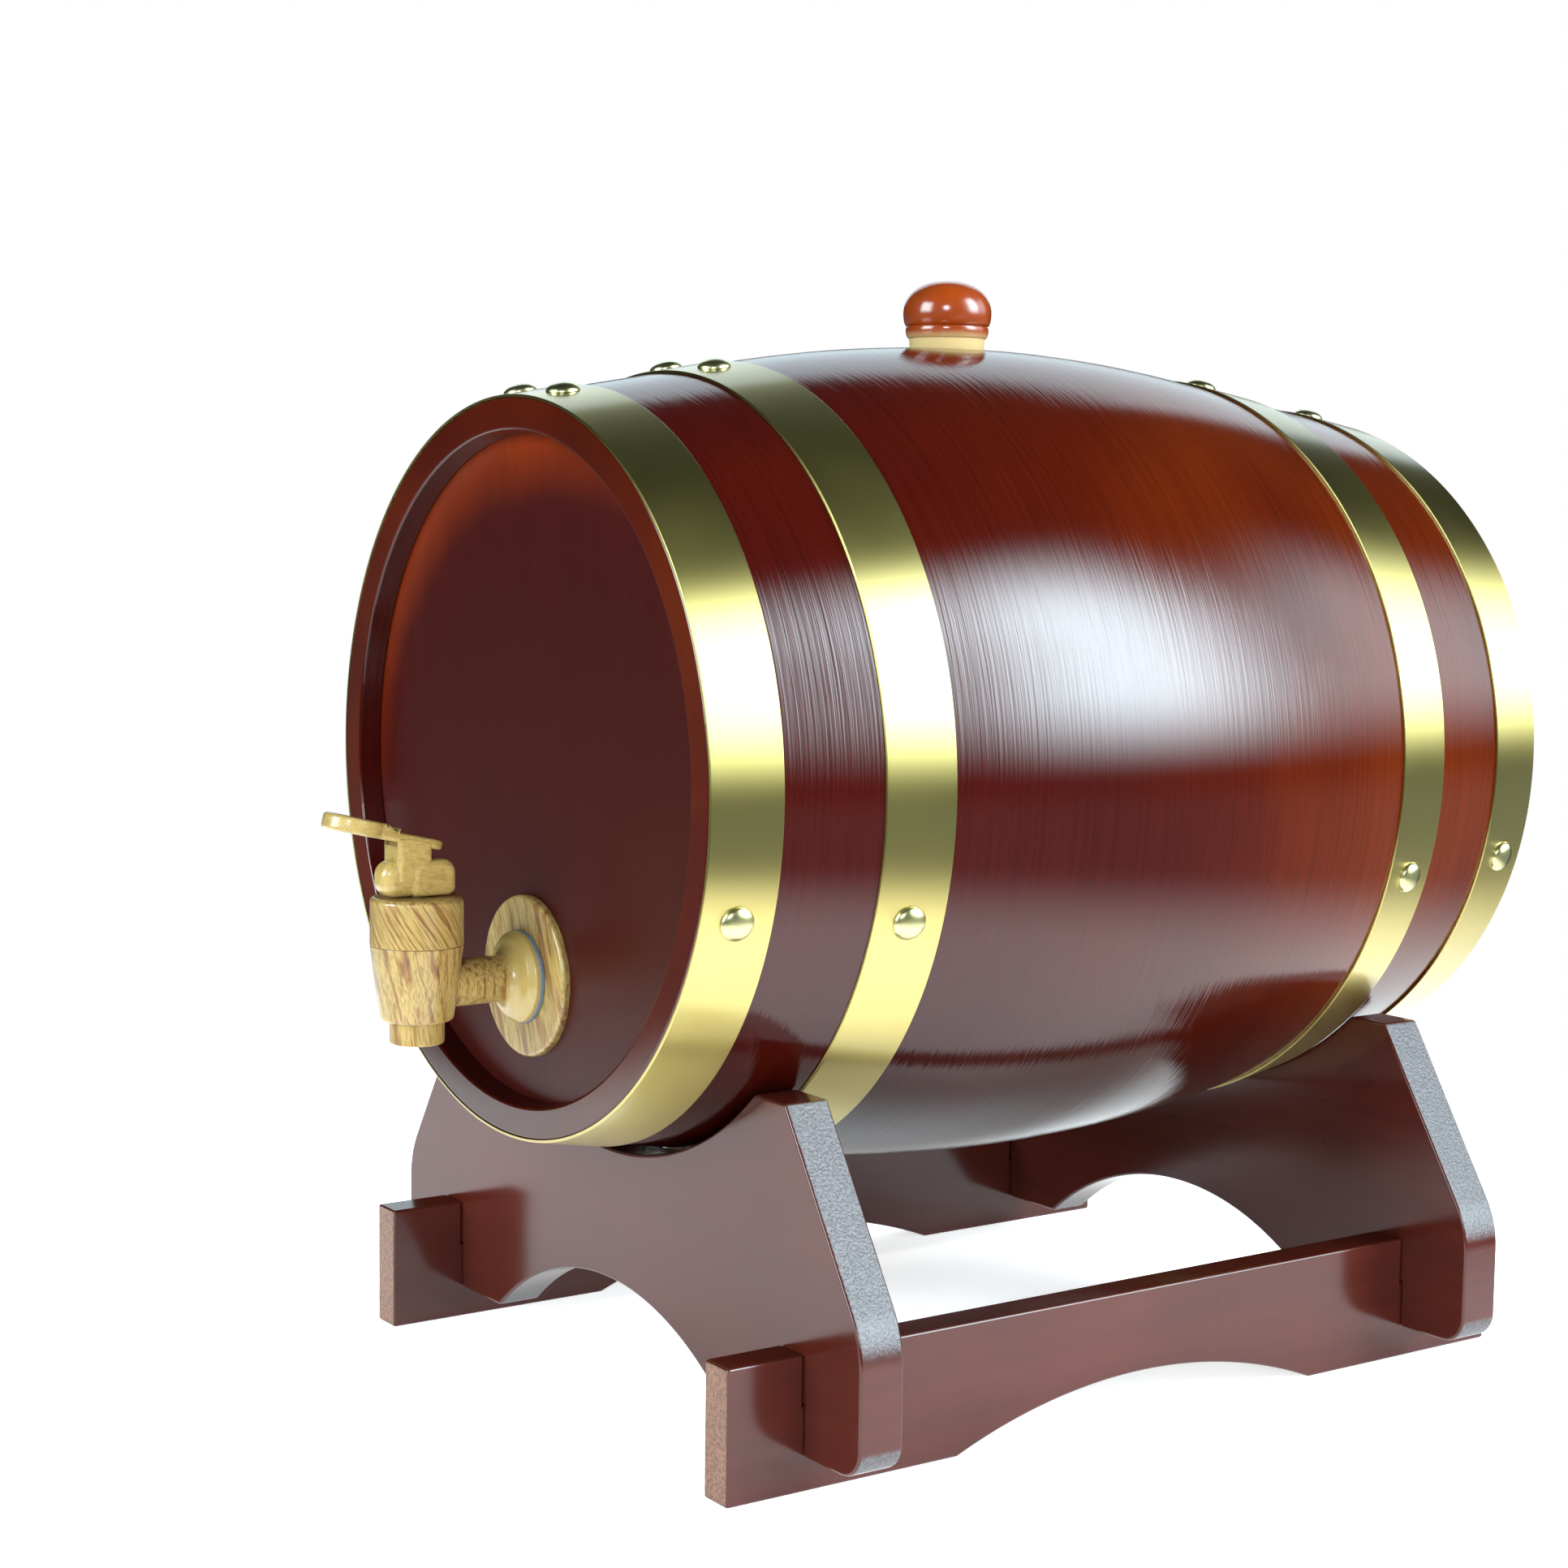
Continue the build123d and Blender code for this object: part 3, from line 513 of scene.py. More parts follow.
def polished_brass(name, shade, roughness, spread):
    """Rolled brass strip, buffed. Gives broad yellow bands of the studio's light with faint rolling lines."""
    made, add = new_material(name)
    place = add("ShaderNodeTexCoord").outputs["Object"]
    # Rolling lines along the strip, about 0.5 mm apart across it.
    lines = add("ShaderNodeMapping", place, Scale=(12.0, 2000.0, 12.0))
    line = add("ShaderNodeTexNoise", lines, Scale=1.0, Detail=2.0)
    haze = add("ShaderNodeTexNoise", place, Scale=30.0, Detail=1.0)
    rough = add("ShaderNodeMapRange", haze, 0.3, 0.7, roughness, roughness * 1.12)
    bump = add("ShaderNodeBump", Strength=0.05, Distance=0.0001, Height=line)
    # The buffing ran along the strip, so that reflections spread across it.
    across = add("ShaderNodeCombineXYZ", Y=1.0)
    skin = add(
        "ShaderNodeBsdfPrincipled", Base_Color=shade, Metallic=1.0, Roughness=rough, Anisotropic=spread,
        Tangent=across, Normal=bump, Coat_Weight=0.8, Coat_Roughness=0.14, Coat_IOR=1.5,
    )
    add("ShaderNodeOutputMaterial", Surface=skin)
    return made


def turned_bung_wood(colours, bare_below):
    """A maple bung, turned, its knob stained and lacquered and its plug left bare. Gives a wet orange gloss
    over a matt cream taper."""
    made, add = new_material("turned_maple_stained_knob")
    place = add("ShaderNodeTexCoord").outputs["Object"]
    height = add("ShaderNodeSeparateXYZ", place)
    cloud = add("ShaderNodeTexNoise", place, Scale=110.0, Detail=1.0)
    # The stain's edge wanders by under a millimetre and fades over 3.8 mm.
    edge = add("ShaderNodeMath", cloud, 0.0008, height.outputs["Z"], operation="MULTIPLY_ADD")
    stained = add("ShaderNodeMapRange", edge, bare_below, bare_below + 0.0038, **SMOOTH)
    stains = [(0.35, dimmed(colours.bung_stain, 0.85)), (0.65, colours.bung_stain)]
    dark = add("ShaderNodeValToRGB", cloud, stops=stains)
    tint = add("ShaderNodeMix", stained, colours.bung_bare, dark, **MIXED)
    skin = add(
        "ShaderNodeBsdfPrincipled", Base_Color=tint, Roughness=0.5, IOR=1.5, Specular_IOR_Level=0.1,
        Coat_Weight=stained, Coat_Roughness=0.15, Coat_IOR=1.6,
    )
    add("ShaderNodeOutputMaterial", Surface=skin)
    return made


def printed_grain_plastic(colours, part, middle, lean, twist, swirl, width, bare_from=None, print_share=1.0):
    """ABS mouldings with a wood grain dipped onto them. Gives tan and brown streaks that wander down the tap
    under a satin skin. The streaks are of that width, twist round an upright line through middle by that many
    radians a metre, and lean. The film stretches and pales beyond bare_from along Y, where it is given."""
    made, add = new_material("moulded_abs_dipped_grain_" + part)
    place = add("ShaderNodeTexCoord").outputs["Object"]
    split = add("ShaderNodeSeparateXYZ", place)
    angle = add("ShaderNodeMath", split.outputs["Z"], twist, operation="MULTIPLY")
    wound = add(
        "ShaderNodeVectorRotate", Vector=place, Center=(0.0, middle, 0.0), Angle=angle, rotation_type="Z_AXIS"
    )
    # Bands sixteen times as long as wide, with fibres 0.35 mm wide and 4 mm long in them.
    bands = add("ShaderNodeMapping", wound, Rotation=lean, Scale=(width, width, 16 * width), **TEXTURE)
    band = add("ShaderNodeTexNoise", bands, Scale=1.0, Detail=3.0, Roughness=0.6, Distortion=swirl)
    fibres = add("ShaderNodeMapping", wound, Rotation=lean, Scale=(0.00035, 0.00035, 0.0040), **TEXTURE)
    fibre = add("ShaderNodeTexNoise", fibres, Scale=1.0, Detail=1.0)
    pale, brown = colours.grain_pale, colours.grain_brown
    streaks = [(0.26, colours.grain_purple), (0.39, brown), (0.52, pale), (0.58, pale), (0.74, brown)]
    ground = add("ShaderNodeValToRGB", band, stops=streaks)
    fleck = add("ShaderNodeValToRGB", fibre, stops=[(0.36, grey(0.62)), (0.50, grey(1.0))])
    tint = add("ShaderNodeMix", 1.0, ground, fleck, **MULTIPLIED)
    shown = print_share
    if bare_from is not None:
        start, end = bare_from - 0.002, bare_from + 0.002
        shown = add("ShaderNodeMapRange", split.outputs["Y"], start, end, print_share, 0.15, **SMOOTH)
    skin_tint = add("ShaderNodeMix", shown, colours.plain_plastic, tint, **MIXED)
    skin = add(
        "ShaderNodeBsdfPrincipled", Base_Color=skin_tint, Roughness=0.36, IOR=1.5, Coat_Weight=0.6,
        Coat_Roughness=0.14,
    )
    add("ShaderNodeOutputMaterial", Surface=skin)
    return made


def soft_plastic(name, shade, roughness, fleck_scale):
    """Moulded plastic or rubber in one colour. Gives a plain satin skin with a faint moulded unevenness."""
    made, add = new_material(name)
    place = add("ShaderNodeTexCoord").outputs["Object"]
    cloud = add("ShaderNodeTexNoise", place, Scale=fleck_scale, Detail=3.0)
    tint = add("ShaderNodeValToRGB", cloud, stops=[(0.35, dimmed(shade, 0.82)), (0.6, shade)])
    bump = add("ShaderNodeBump", Strength=0.08, Distance=0.0001, Height=cloud)
    skin = add("ShaderNodeBsdfPrincipled", Base_Color=tint, Roughness=roughness, IOR=1.5, Normal=bump)
    add("ShaderNodeOutputMaterial", Surface=skin)
    return made


def spring_wire(colours):
    """Drawn spring steel. Gives a bright grey wire with fine drawing lines."""
    made, add = new_material("drawn_spring_steel")
    place = add("ShaderNodeTexCoord").outputs["Object"]
    line = add("ShaderNodeTexNoise", place, Scale=900.0, Detail=2.0)
    rough = add("ShaderNodeMapRange", line, 0.0, 1.0, 0.22, 0.34)
    skin = add("ShaderNodeBsdfPrincipled", Base_Color=colours.steel, Metallic=1.0, Roughness=rough)
    add("ShaderNodeOutputMaterial", Surface=skin)
    return made


def stand_board_wood(colours, name, grain_scale, end_axis, end_colour):
    """Sawn pine boards, sanded, under mahogany stain and gloss lacquer. Gives a mauve-brown sheen on the
    broad faces, and on the sawn ends an open, speckled grain that catches the light."""
    made, add = new_material(name)
    coords = add("ShaderNodeTexCoord")
    place = coords.outputs["Object"]
    grain = add("ShaderNodeMapping", place, Scale=grain_scale)
    line = add("ShaderNodeTexNoise", grain, Scale=1.0, Detail=4.0, Distortion=0.3)
    cloud = add("ShaderNodeTexNoise", place, Scale=16.0, Detail=2.0)
    either = add("ShaderNodeVectorMath", coords.outputs["Normal"], operation="ABSOLUTE")
    facing = add("ShaderNodeVectorMath", either, end_axis, operation="DOT_PRODUCT")
    end = add("ShaderNodeMapRange", facing, 0.88, 0.97, **SMOOTH)
    # Open pores of the sawn ends, 0.4 mm wide.
    pores = add("ShaderNodeTexNoise", place, Scale=1100.0, Detail=2.0, Roughness=0.7)
    stain = colours.stand_stain
    flat = add("ShaderNodeValToRGB", line, stops=[(0.25, dimmed(stain, 0.82)), (0.65, stain)])
    patch = add("ShaderNodeValToRGB", cloud, stops=[(0.3, grey(0.8)), (0.7, grey(1.15))])
    tint = add("ShaderNodeMix", 1.0, flat, patch, **MULTIPLIED)
    # On the cradles the ends' colour is partly painted reflection, the light's sheen on the open grain of the
    # slopes; the pores are real.
    speckle = add("ShaderNodeValToRGB", pores, stops=[(0.40, dimmed(end_colour, 0.4)), (0.60, end_colour)])
    sawn = add("ShaderNodeMath", end, 0.8, operation="MULTIPLY")
    wood = add("ShaderNodeMix", sawn, tint, speckle, **MIXED)
    deep = add("ShaderNodeMath", pores, end, operation="MULTIPLY")
    bump = add("ShaderNodeBump", Strength=0.5, Distance=0.0004, Height=deep)
    rough = add("ShaderNodeMapRange", end, 0.0, 1.0, 0.16, 0.34)
    skin = add("ShaderNodeBsdfPrincipled", Base_Color=wood, Roughness=rough, IOR=1.5, Normal=bump)
    add("ShaderNodeOutputMaterial", Surface=skin)
    return made


# The barrel's own shape

def middle_of_barrel():
    """Y of the barrel's middle in the row's frame, from its staves."""
    low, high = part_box("bung_stave")
    return (low.y + high.y) / 2


def stave_radius(barrel, y):
    """Outside radius of the staves at y from the barrel's middle."""
    bend = barrel.bent_half / math.sin(barrel.stave_slope)
    if abs(y) <= barrel.bent_half:
        return barrel.belly_radius - bend + math.sqrt(bend ** 2 - y ** 2)
    straight = (abs(y) - barrel.bent_half) * math.tan(barrel.stave_slope)
    return barrel.belly_radius - bend * (1 - math.cos(barrel.stave_slope)) - straight


def stave_lean(barrel, y):
    """Slope of the staves' outside at y, as radius over y."""
    if abs(y) >= barrel.bent_half:
        return -math.copysign(math.tan(barrel.stave_slope), y)
    bend = barrel.bent_half / math.sin(barrel.stave_slope)
    return -y / math.sqrt(bend ** 2 - y ** 2)


def plug_radius(barrel, height):
    """Radius of the bung's tapered plug at a height over the belly."""
    taper = 0.07
    return barrel.bung_radius + (height - barrel.plug_proud) * taper


def hoop_middles(barrel):
    """Distances of an end hoop and an inner hoop from the barrel's middle."""
    return barrel.half_length - barrel.hoop_width / 2, barrel.inner_hoop


def stave_outline(barrel):
    """A stave's whole section, as (radius, y) from the barrel's middle, closed."""
    end, thick = barrel.half_length, barrel.stave_thickness
    chime = stave_radius(barrel, end) - barrel.chime_wall
    face = end - barrel.head_recess
    croze_end = face - barrel.croze_width
    croze = chime - barrel.chime_taper + barrel.croze_depth
    outside_at = [barrel.bent_half * i / 20 for i in range(1, 21)] + [0.100, 0.120, 0.140, 0.155]
    half = [
        *[(stave_radius(barrel, y), y, 0.0) for y in outside_at],
        (stave_radius(barrel, end), end, barrel.end_rounding),
        (chime, end, barrel.end_rounding),
        (chime - barrel.chime_taper, face, 0.0005),
        (croze, face, 0.0),
        (croze, croze_end, 0.0),
        (stave_radius(barrel, croze_end) - thick / math.cos(barrel.stave_slope), croze_end, 0.0),
        *[(stave_radius(barrel, y) - thick, y, 0.0) for y in (0.120, 0.082, 0.060, 0.040, 0.020)],
    ]
    mirrored = [(radius, -y, rounding) for radius, y, rounding in reversed(half)]
    outside, inside = (barrel.belly_radius, 0.0, 0.0), (barrel.belly_radius - thick, 0.0, 0.0)
    return rounded([outside, *half, inside, *mirrored], degrees=22.5)


# The pieces

class BARREL_OT_staves(bpy.types.Operator):
    """Makes the bent staves, the top one bored for the bung"""

    bl_idname = "barrel.staves"
    bl_label = "Staves"

    def execute(self, context):
        barrel = context.scene.barrel_sizes
        middle = middle_of_barrel()
        wood = lacquered_stave_wood(context.scene.barrel_colours, middle)
        outline = stave_outline(barrel)
        place = along_y(middle, barrel.axis_height)
        up = Matrix.Translation((0.0, middle, barrel.axis_height + barrel.belly_radius))
        low, high = -2 * barrel.stave_thickness, 0.004
        rims = [(plug_radius(barrel, z) + barrel.bung_gap, z) for z in (low, high)]
        step = FULL_TURN / barrel.stave_count

        def true_normal(point, face):
            """The bent outside's own normal, so that the staves shade as one surface."""
            y = point.y - middle
            across = Vector((point.x, 0.0, point.z - barrel.axis_height))
            limit = barrel.half_length - 1.05 * barrel.end_rounding
            if abs(across.length - stave_radius(barrel, y)) > 0.0002 or abs(y) > limit:
                return None
            if across.normalized().dot(face.normal) < 0.9:
                return None
            return across.normalized() + Vector((0.0, -stave_lean(barrel, y), 0.0))

        for index in range(barrel.stave_count):
            # The first stave's middle stands at the top, and the next ones follow clockwise.
            start = math.pi * 1.5 + index * step - step / 2
            name = f"bent_stave_{index:02d}" if index else "bored_stave"
            piece = as_object(name, turned(outline, 8, place, start, step))
            if index == 0:
                combined(piece, [turned([(0.0, low), *rims, (0.0, high)], 96, up)], "DIFFERENCE")
            node = f"stave_{index:02d}" if index else "bung_stave"
            finished(piece, name, "barrel", wood, [node], true_normal=true_normal)
        return {"FINISHED"}


class BARREL_OT_heads(bpy.types.Operator):
    """Finishes the two heads"""

    bl_idname = "barrel.heads"
    bl_label = "Heads"

    def execute(self, context):
        wood = lacquered_head_wood(context.scene.barrel_colours, middle_of_barrel())
        for name in ("front_head", "back_head"):
            repaint(name, wood)
        return {"FINISHED"}


class BARREL_OT_hoops(bpy.types.Operator):
    """Makes the four conical brass hoops"""

    bl_idname = "barrel.hoops"
    bl_label = "Hoops"

    def execute(self, context):
        barrel = context.scene.barrel_sizes
        brass = polished_brass("rolled_brass_buffed", context.scene.barrel_colours.brass, 0.33, 0.88)
        place = along_y(middle_of_barrel(), barrel.axis_height)
        gap = barrel.hoop_gap / math.cos(barrel.stave_slope)
        outer = gap + barrel.hoop_thickness / math.cos(barrel.stave_slope)
        for kind, distance in zip(("end", "inner"), hoop_middles(barrel)):
            low, high = distance - barrel.hoop_width / 2, distance + barrel.hoop_width / 2
            section = (low, gap, 0.0), (high, gap, 0.0), (high, outer, 0.0003), (low, outer, 0.0003)
            for side, word in ((-1, "front"), (1, "back")):
                corners = [(stave_radius(barrel, y) + lift, side * y, edge) for y, lift, edge in section]
                ring = turned(rounded(corners, 30.0), 256, place)
                name, node = f"{word}_{kind}_brass_hoop", f"{word}_{kind}_hoop"
                finished(ring, name, "barrel", brass, [node], 50.0)
        return {"FINISHED"}


def nail_tree(material):
    """A node tree that sets a domed nail head on every point, leaning with the point's own direction."""
    tree = bpy.data.node_groups.new("Nail heads on a hoop", "GeometryNodeTree")
    add = partial(add_node, tree)
    sockets = {"Geometry": "Geometry", "Head radius": "Float", "Head height": "Float"}
    for name, kind in sockets.items():
        tree.interface.new_socket(name, in_out="INPUT", socket_type="NodeSocket" + kind)
    tree.interface.new_socket("Geometry", in_out="OUTPUT", socket_type="NodeSocketGeometry")
    given = add("NodeGroupInput").outputs
    ball = add("GeometryNodeMeshUVSphere", Segments=40, Rings=24, Radius=given["Head radius"])
    share = add("ShaderNodeMath", given["Head height"], given["Head radius"], operation="DIVIDE")
    squeeze = add("ShaderNodeCombineXYZ", 1.0, 1.0, share)
    dome = add("GeometryNodeTransform", Geometry=ball, Scale=squeeze)
    parts = add("ShaderNodeSeparateXYZ", add("GeometryNodeInputPosition"))
    below = add("ShaderNodeMath", parts.outputs["Z"], -0.00001, operation="LESS_THAN")
    cap = add("GeometryNodeDeleteGeometry", Geometry=dome, Selection=below, domain="POINT")
    closed = add("GeometryNodeConvexHull", cap)
    lean = add("GeometryNodeInputNamedAttribute", Name="out_of_barrel", data_type="FLOAT_VECTOR")
    turn = add("FunctionNodeAlignRotationToVector", Vector=lean.outputs["Attribute"], axis="Z")
    placed = add("GeometryNodeInstanceOnPoints", Points=given["Geometry"], Instance=closed, Rotation=turn)
    real = add("GeometryNodeRealizeInstances", placed)
    add("NodeGroupOutput", Geometry=add("GeometryNodeSetMaterial", Geometry=real, Material=material))
    return tree


def plain_from_nodes(piece, tree, values):
    """Runs a node tree on a piece with its named inputs set, and leaves the result as a plain mesh."""
    modifier = piece.modifiers.new("nodes", "NODES")
    modifier.node_group = tree
    for item in tree.interface.items_tree:
        if item.item_type == "SOCKET" and item.in_out == "INPUT" and item.name in values:
            modifier[item.identifier] = values[item.name]
    applied(piece)


class BARREL_OT_nails(bpy.types.Operator):
    """Sets the domed nail heads on the hoops"""

    bl_idname = "barrel.nails"
    bl_label = "Nails"

    def execute(self, context):
        barrel = context.scene.barrel_sizes
        middle = middle_of_barrel()
        brass = polished_brass("pressed_brass_nails", context.scene.barrel_colours.nail_brass, 0.27, 0.0)
        mesh = bpy.data.meshes.new("nails")
        points, leans = [], []
        lift = (barrel.hoop_gap + barrel.hoop_thickness) / math.cos(barrel.stave_slope) + 0.00003
        for distance in hoop_middles(barrel):
            for y in (-distance, distance):
                # Angles from the top: two nails beside it, and one low on each side.
                for degrees in (-107.0, -6.5, 6.5, 107.0):
                    across, up = math.sin(math.radians(degrees)), math.cos(math.radians(degrees))
                    radius = stave_radius(barrel, y) + lift
                    points.append((radius * across, middle + y, barrel.axis_height + radius * up))
                    leans += [across, -stave_lean(barrel, y), up]
        mesh.from_pydata(points, [], [])
        mesh.attributes.new("out_of_barrel", "FLOAT_VECTOR", "POINT").data.foreach_set("vector", leans)
        piece = as_object("brass_nail_heads", mesh)
        plain_from_nodes(
            piece, nail_tree(brass), {"Head radius": barrel.nail_radius, "Head height": barrel.nail_height}
        )
        finished(piece, "brass_nail_heads", "barrel", brass, ["hoop_nails"], 50.0)
        return {"FINISHED"}


class BARREL_OT_bung(bpy.types.Operator):
    """Turns the bung with its knob, bead and plug"""

    bl_idname = "barrel.bung"
    bl_label = "Bung"

    def execute(self, context):
        barrel = context.scene.barrel_sizes
        top = barrel.axis_height + barrel.belly_radius
        plug, groove, knob = barrel.bung_radius, barrel.groove_radius, barrel.knob_radius
        proud, skirt = barrel.plug_proud, barrel.knob_skirt
        bead_top = proud + barrel.bead_height
        widest = bead_top + skirt
        end, edge, bulge = proud - barrel.plug_length, 0.0006, 0.0008
        tip = plug_radius(barrel, end)
        profile = [(0.0, end), (tip - edge, end), (tip, end + edge), (plug, proud)]
        for i in range(1, 14):
            a = math.pi * i / 14
            inner = plug + (groove - plug) * i / 14
            profile.append((inner + bulge * math.sin(a), proud + barrel.bead_height * (1 - math.cos(a)) / 2))
        profile.append((groove, bead_top))
        # The knob swells out of its groove and closes in a crown that is a little fuller than a dome.
        for i in range(1, 15):
            a = math.pi / 2 * i / 15
            profile.append((groove + (knob - groove) * math.sin(a) ** 0.9, widest - skirt * math.cos(a)))
        for i in range(24):
            a = math.pi / 2 * i / 24
            profile.append((knob * math.cos(a) ** 0.84, widest + barrel.knob_crown * math.sin(a) ** 0.96))
        profile.append((0.0, widest + barrel.knob_crown))
        wood = turned_bung_wood(context.scene.barrel_colours, top + proud - 0.0006)
        knobbed = turned(profile, 112, Matrix.Translation((0.0, middle_of_barrel(), top)))
        finished(knobbed, "turned_bung", "bung", wood, ["bung"], 40.0)
        return {"FINISHED"}


def tap_places(context):
    """Y of the valve's axis, Z of the pipe's axis and Y of the head's face, in the row's frame."""
    barrel, tap = context.scene.barrel_sizes, context.scene.tap_sizes
    face = middle_of_barrel() - barrel.half_length + barrel.head_recess
    return face - tap.valve_reach, barrel.axis_height - tap.pipe_drop, face


# Sizes that fit the tap's pieces to each other. Rises and drops are from the pipe's axis.
BODY_RISE, FOOT_DROP, SPOUT_DROP = 0.0129, 0.0101, 0.0171
CHAMBER_RADIUS, CHAMBER_DROP, PIPE_BORE = 0.0092, 0.0081, 0.0045
FLANGE_THICKNESS, SHANK_RADIUS, SHANK_REACH = 0.0038, 0.008, 0.023


class BARREL_OT_tap_body(bpy.types.Operator):
    """Moulds the tap's body: spout, valve chamber, pipe, flange and shank"""

    bl_idname = "barrel.tap_body"
    bl_label = "Tap body"

    def execute(self, context):
        tap = context.scene.tap_sizes
        valve_y, pipe_z, face = tap_places(context)
        upright = Matrix.Translation((0.0, valve_y, pipe_z))
        level = along_y(valve_y, pipe_z)
        neck, neck_top = tap.collar_radius - 0.0025, BODY_RISE + 0.010
        valve = rounded([
            (0.0, -SPOUT_DROP, 0.0), (tap.spout_radius, -SPOUT_DROP, 0.0007),
            (tap.spout_radius, -FOOT_DROP, 0.0004), (tap.body_foot_radius, -FOOT_DROP, 0.0014),
            (tap.collar_radius, BODY_RISE, 0.0003), (neck, BODY_RISE, 0.0), (neck, neck_top, 0.0),
            (0.0, neck_top, 0.0),
        ], 12.0)
        # Along the pipe, from the valve's axis: the flange's front and back, and the shank's end.
        back = face - tap.plate_thickness - tap.gasket_thickness - valve_y
        front = back - FLANGE_THICKNESS
        end = face + SHANK_REACH - valve_y
        pipe = rounded([
            (0.0, 0.0, 0.0), (tap.pipe_radius, 0.0, 0.0), (tap.pipe_radius, front - 0.0004, 0.0046),
            (tap.flange_radius - 0.0022, front + 0.0004, 0.0030), (tap.flange_radius, back - 0.0012, 0.0010),
            (tap.flange_radius, back, 0.0), (SHANK_RADIUS, back, 0.0), (SHANK_RADIUS, end, 0.0005),
            (0.0, end, 0.0),
        ], 10.0)
        body = as_object("moulded_tap_body", turned(valve, 96, upright))
        combined(body, [turned(pipe, 96, level)], "UNION")
        chamber = turned(box_section(CHAMBER_RADIUS, -CHAMBER_DROP, 0.024), 64, upright)
        spout = turned(box_section(tap.spout_bore, -0.018, -0.008), 64, upright)
        bore = turned(box_section(PIPE_BORE, 0.0005, end + 0.001), 48, level)
        combined(body, [chamber, spout, bore], "DIFFERENCE")
        # The print pales 3 mm in front of the flange.
        printed = printed_grain_plastic(
            context.scene.barrel_colours, "body", valve_y, (0.0, 0.0, 0.0), 14.0, 0.25, 0.0022,
            valve_y + front - 0.003,
        )
        finished(body, "moulded_tap_body", "barrel", printed, ["tap_body"], 42.0)
        return {"FINISHED"}


class BARREL_OT_tap_washers(bpy.types.Operator):
    """Makes the round plate and the grey gasket, and finishes the gasket and nut inside the barrel"""

    bl_idname = "barrel.tap_washers"
    bl_label = "Plate, gaskets and nut"

    def execute(self, context):
        tap = context.scene.tap_sizes
        colours = context.scene.barrel_colours
        valve_y, pipe_z, face = tap_places(context)
        hole, thick = tap.shank_hole, tap.plate_thickness
        plate = rounded([
            (hole, 0.0, 0.0), (hole, -thick, 0.0002), (tap.plate_radius, -thick, 0.0012),
            (tap.plate_radius, 0.0, 0.0),
        ], 15.0)
        printed = printed_grain_plastic(colours, "plate", valve_y, (0.0, -0.35, 0.0), 0.0, 1.2, 0.0026)
        plate = turned(plate, 160, along_y(face, pipe_z))
        finished(plate, "round_tap_plate", "barrel", printed, ["tap_disc"], 42.0)
        seal = rounded([
            (hole, 0.0, 0.0), (hole, -tap.gasket_thickness, 0.0),
            (tap.gasket_radius, -tap.gasket_thickness, 0.0004), (tap.gasket_radius, 0.0, 0.0003),
        ], 22.5)
        rubber = soft_plastic("moulded_grey_rubber", colours.gasket, 0.55, 600.0)
        seal = turned(seal, 128, along_y(face - thick, pipe_z))
        finished(seal, "grey_gasket", "barrel", rubber, ["tap_gasket"], 42.0)
        repaint("tap_inner_gasket", rubber)
        repaint("tap_nut", soft_plastic("moulded_plain_abs", colours.plain_plastic, 0.4, 300.0))
        return {"FINISHED"}


class BARREL_OT_tap_collar(bpy.types.Operator):
    """Moulds the screw collar"""

    bl_idname = "barrel.tap_collar"
    bl_label = "Collar"

    def execute(self, context):
        tap = context.scene.tap_sizes
        valve_y, pipe_z, _ = tap_places(context)
        low, top = BODY_RISE + 0.00005, BODY_RISE + tap.collar_height
        ceiling = top - 0.00295
        bore, stem_hole = tap.collar_radius - tap.collar_wall, 0.0021
        profile = rounded([
            (tap.collar_radius, low, 0.0003), (tap.collar_radius, top, 0.0015), (stem_hole, top, 0.0002),
            (stem_hole, ceiling, 0.0), (bore, ceiling, 0.0), (bore, low, 0.0),
        ], 12.0)
        collar = turned(profile, 112, Matrix.Translation((0.0, valve_y, pipe_z)))
        printed = printed_grain_plastic(
            context.scene.barrel_colours, "collar", valve_y, (0.0, 0.0, 0.0), 48.0, 0.4, 0.0016
        )
        finished(collar, "screw_collar", "barrel", printed, ["tap_collar"], 42.0)
        return {"FINISHED"}


def squeezed(node, name, material):
    """Puts a copy on the valve in place of a CAD node."""
    bm = bmesh.new()
    bm.from_mesh(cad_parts[node].data)
    bmesh.ops.remove_doubles(bm, verts=bm.verts, dist=1e-7)
    piece = finished(bm, name, "valve", material, [node])
    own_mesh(piece)


class BARREL_OT_valve(bpy.types.Operator):
    """Finishes the valve's rubber cup, stem and spring, inside the tap"""

    bl_idname = "barrel.valve"
    bl_label = "Valve"

    def execute(self, context):
        colours = context.scene.barrel_colours
        rubber = soft_plastic("moulded_black_rubber", colours.cup, 0.6, 500.0)
        squeezed("valve_cup", "rubber_valve_cup", rubber)
        repaint("valve_stem", soft_plastic("moulded_plain_stem", colours.plain_plastic, 0.4, 300.0))
        squeezed("valve_spring", "return_spring", spring_wire(colours))
        return {"FINISHED"}


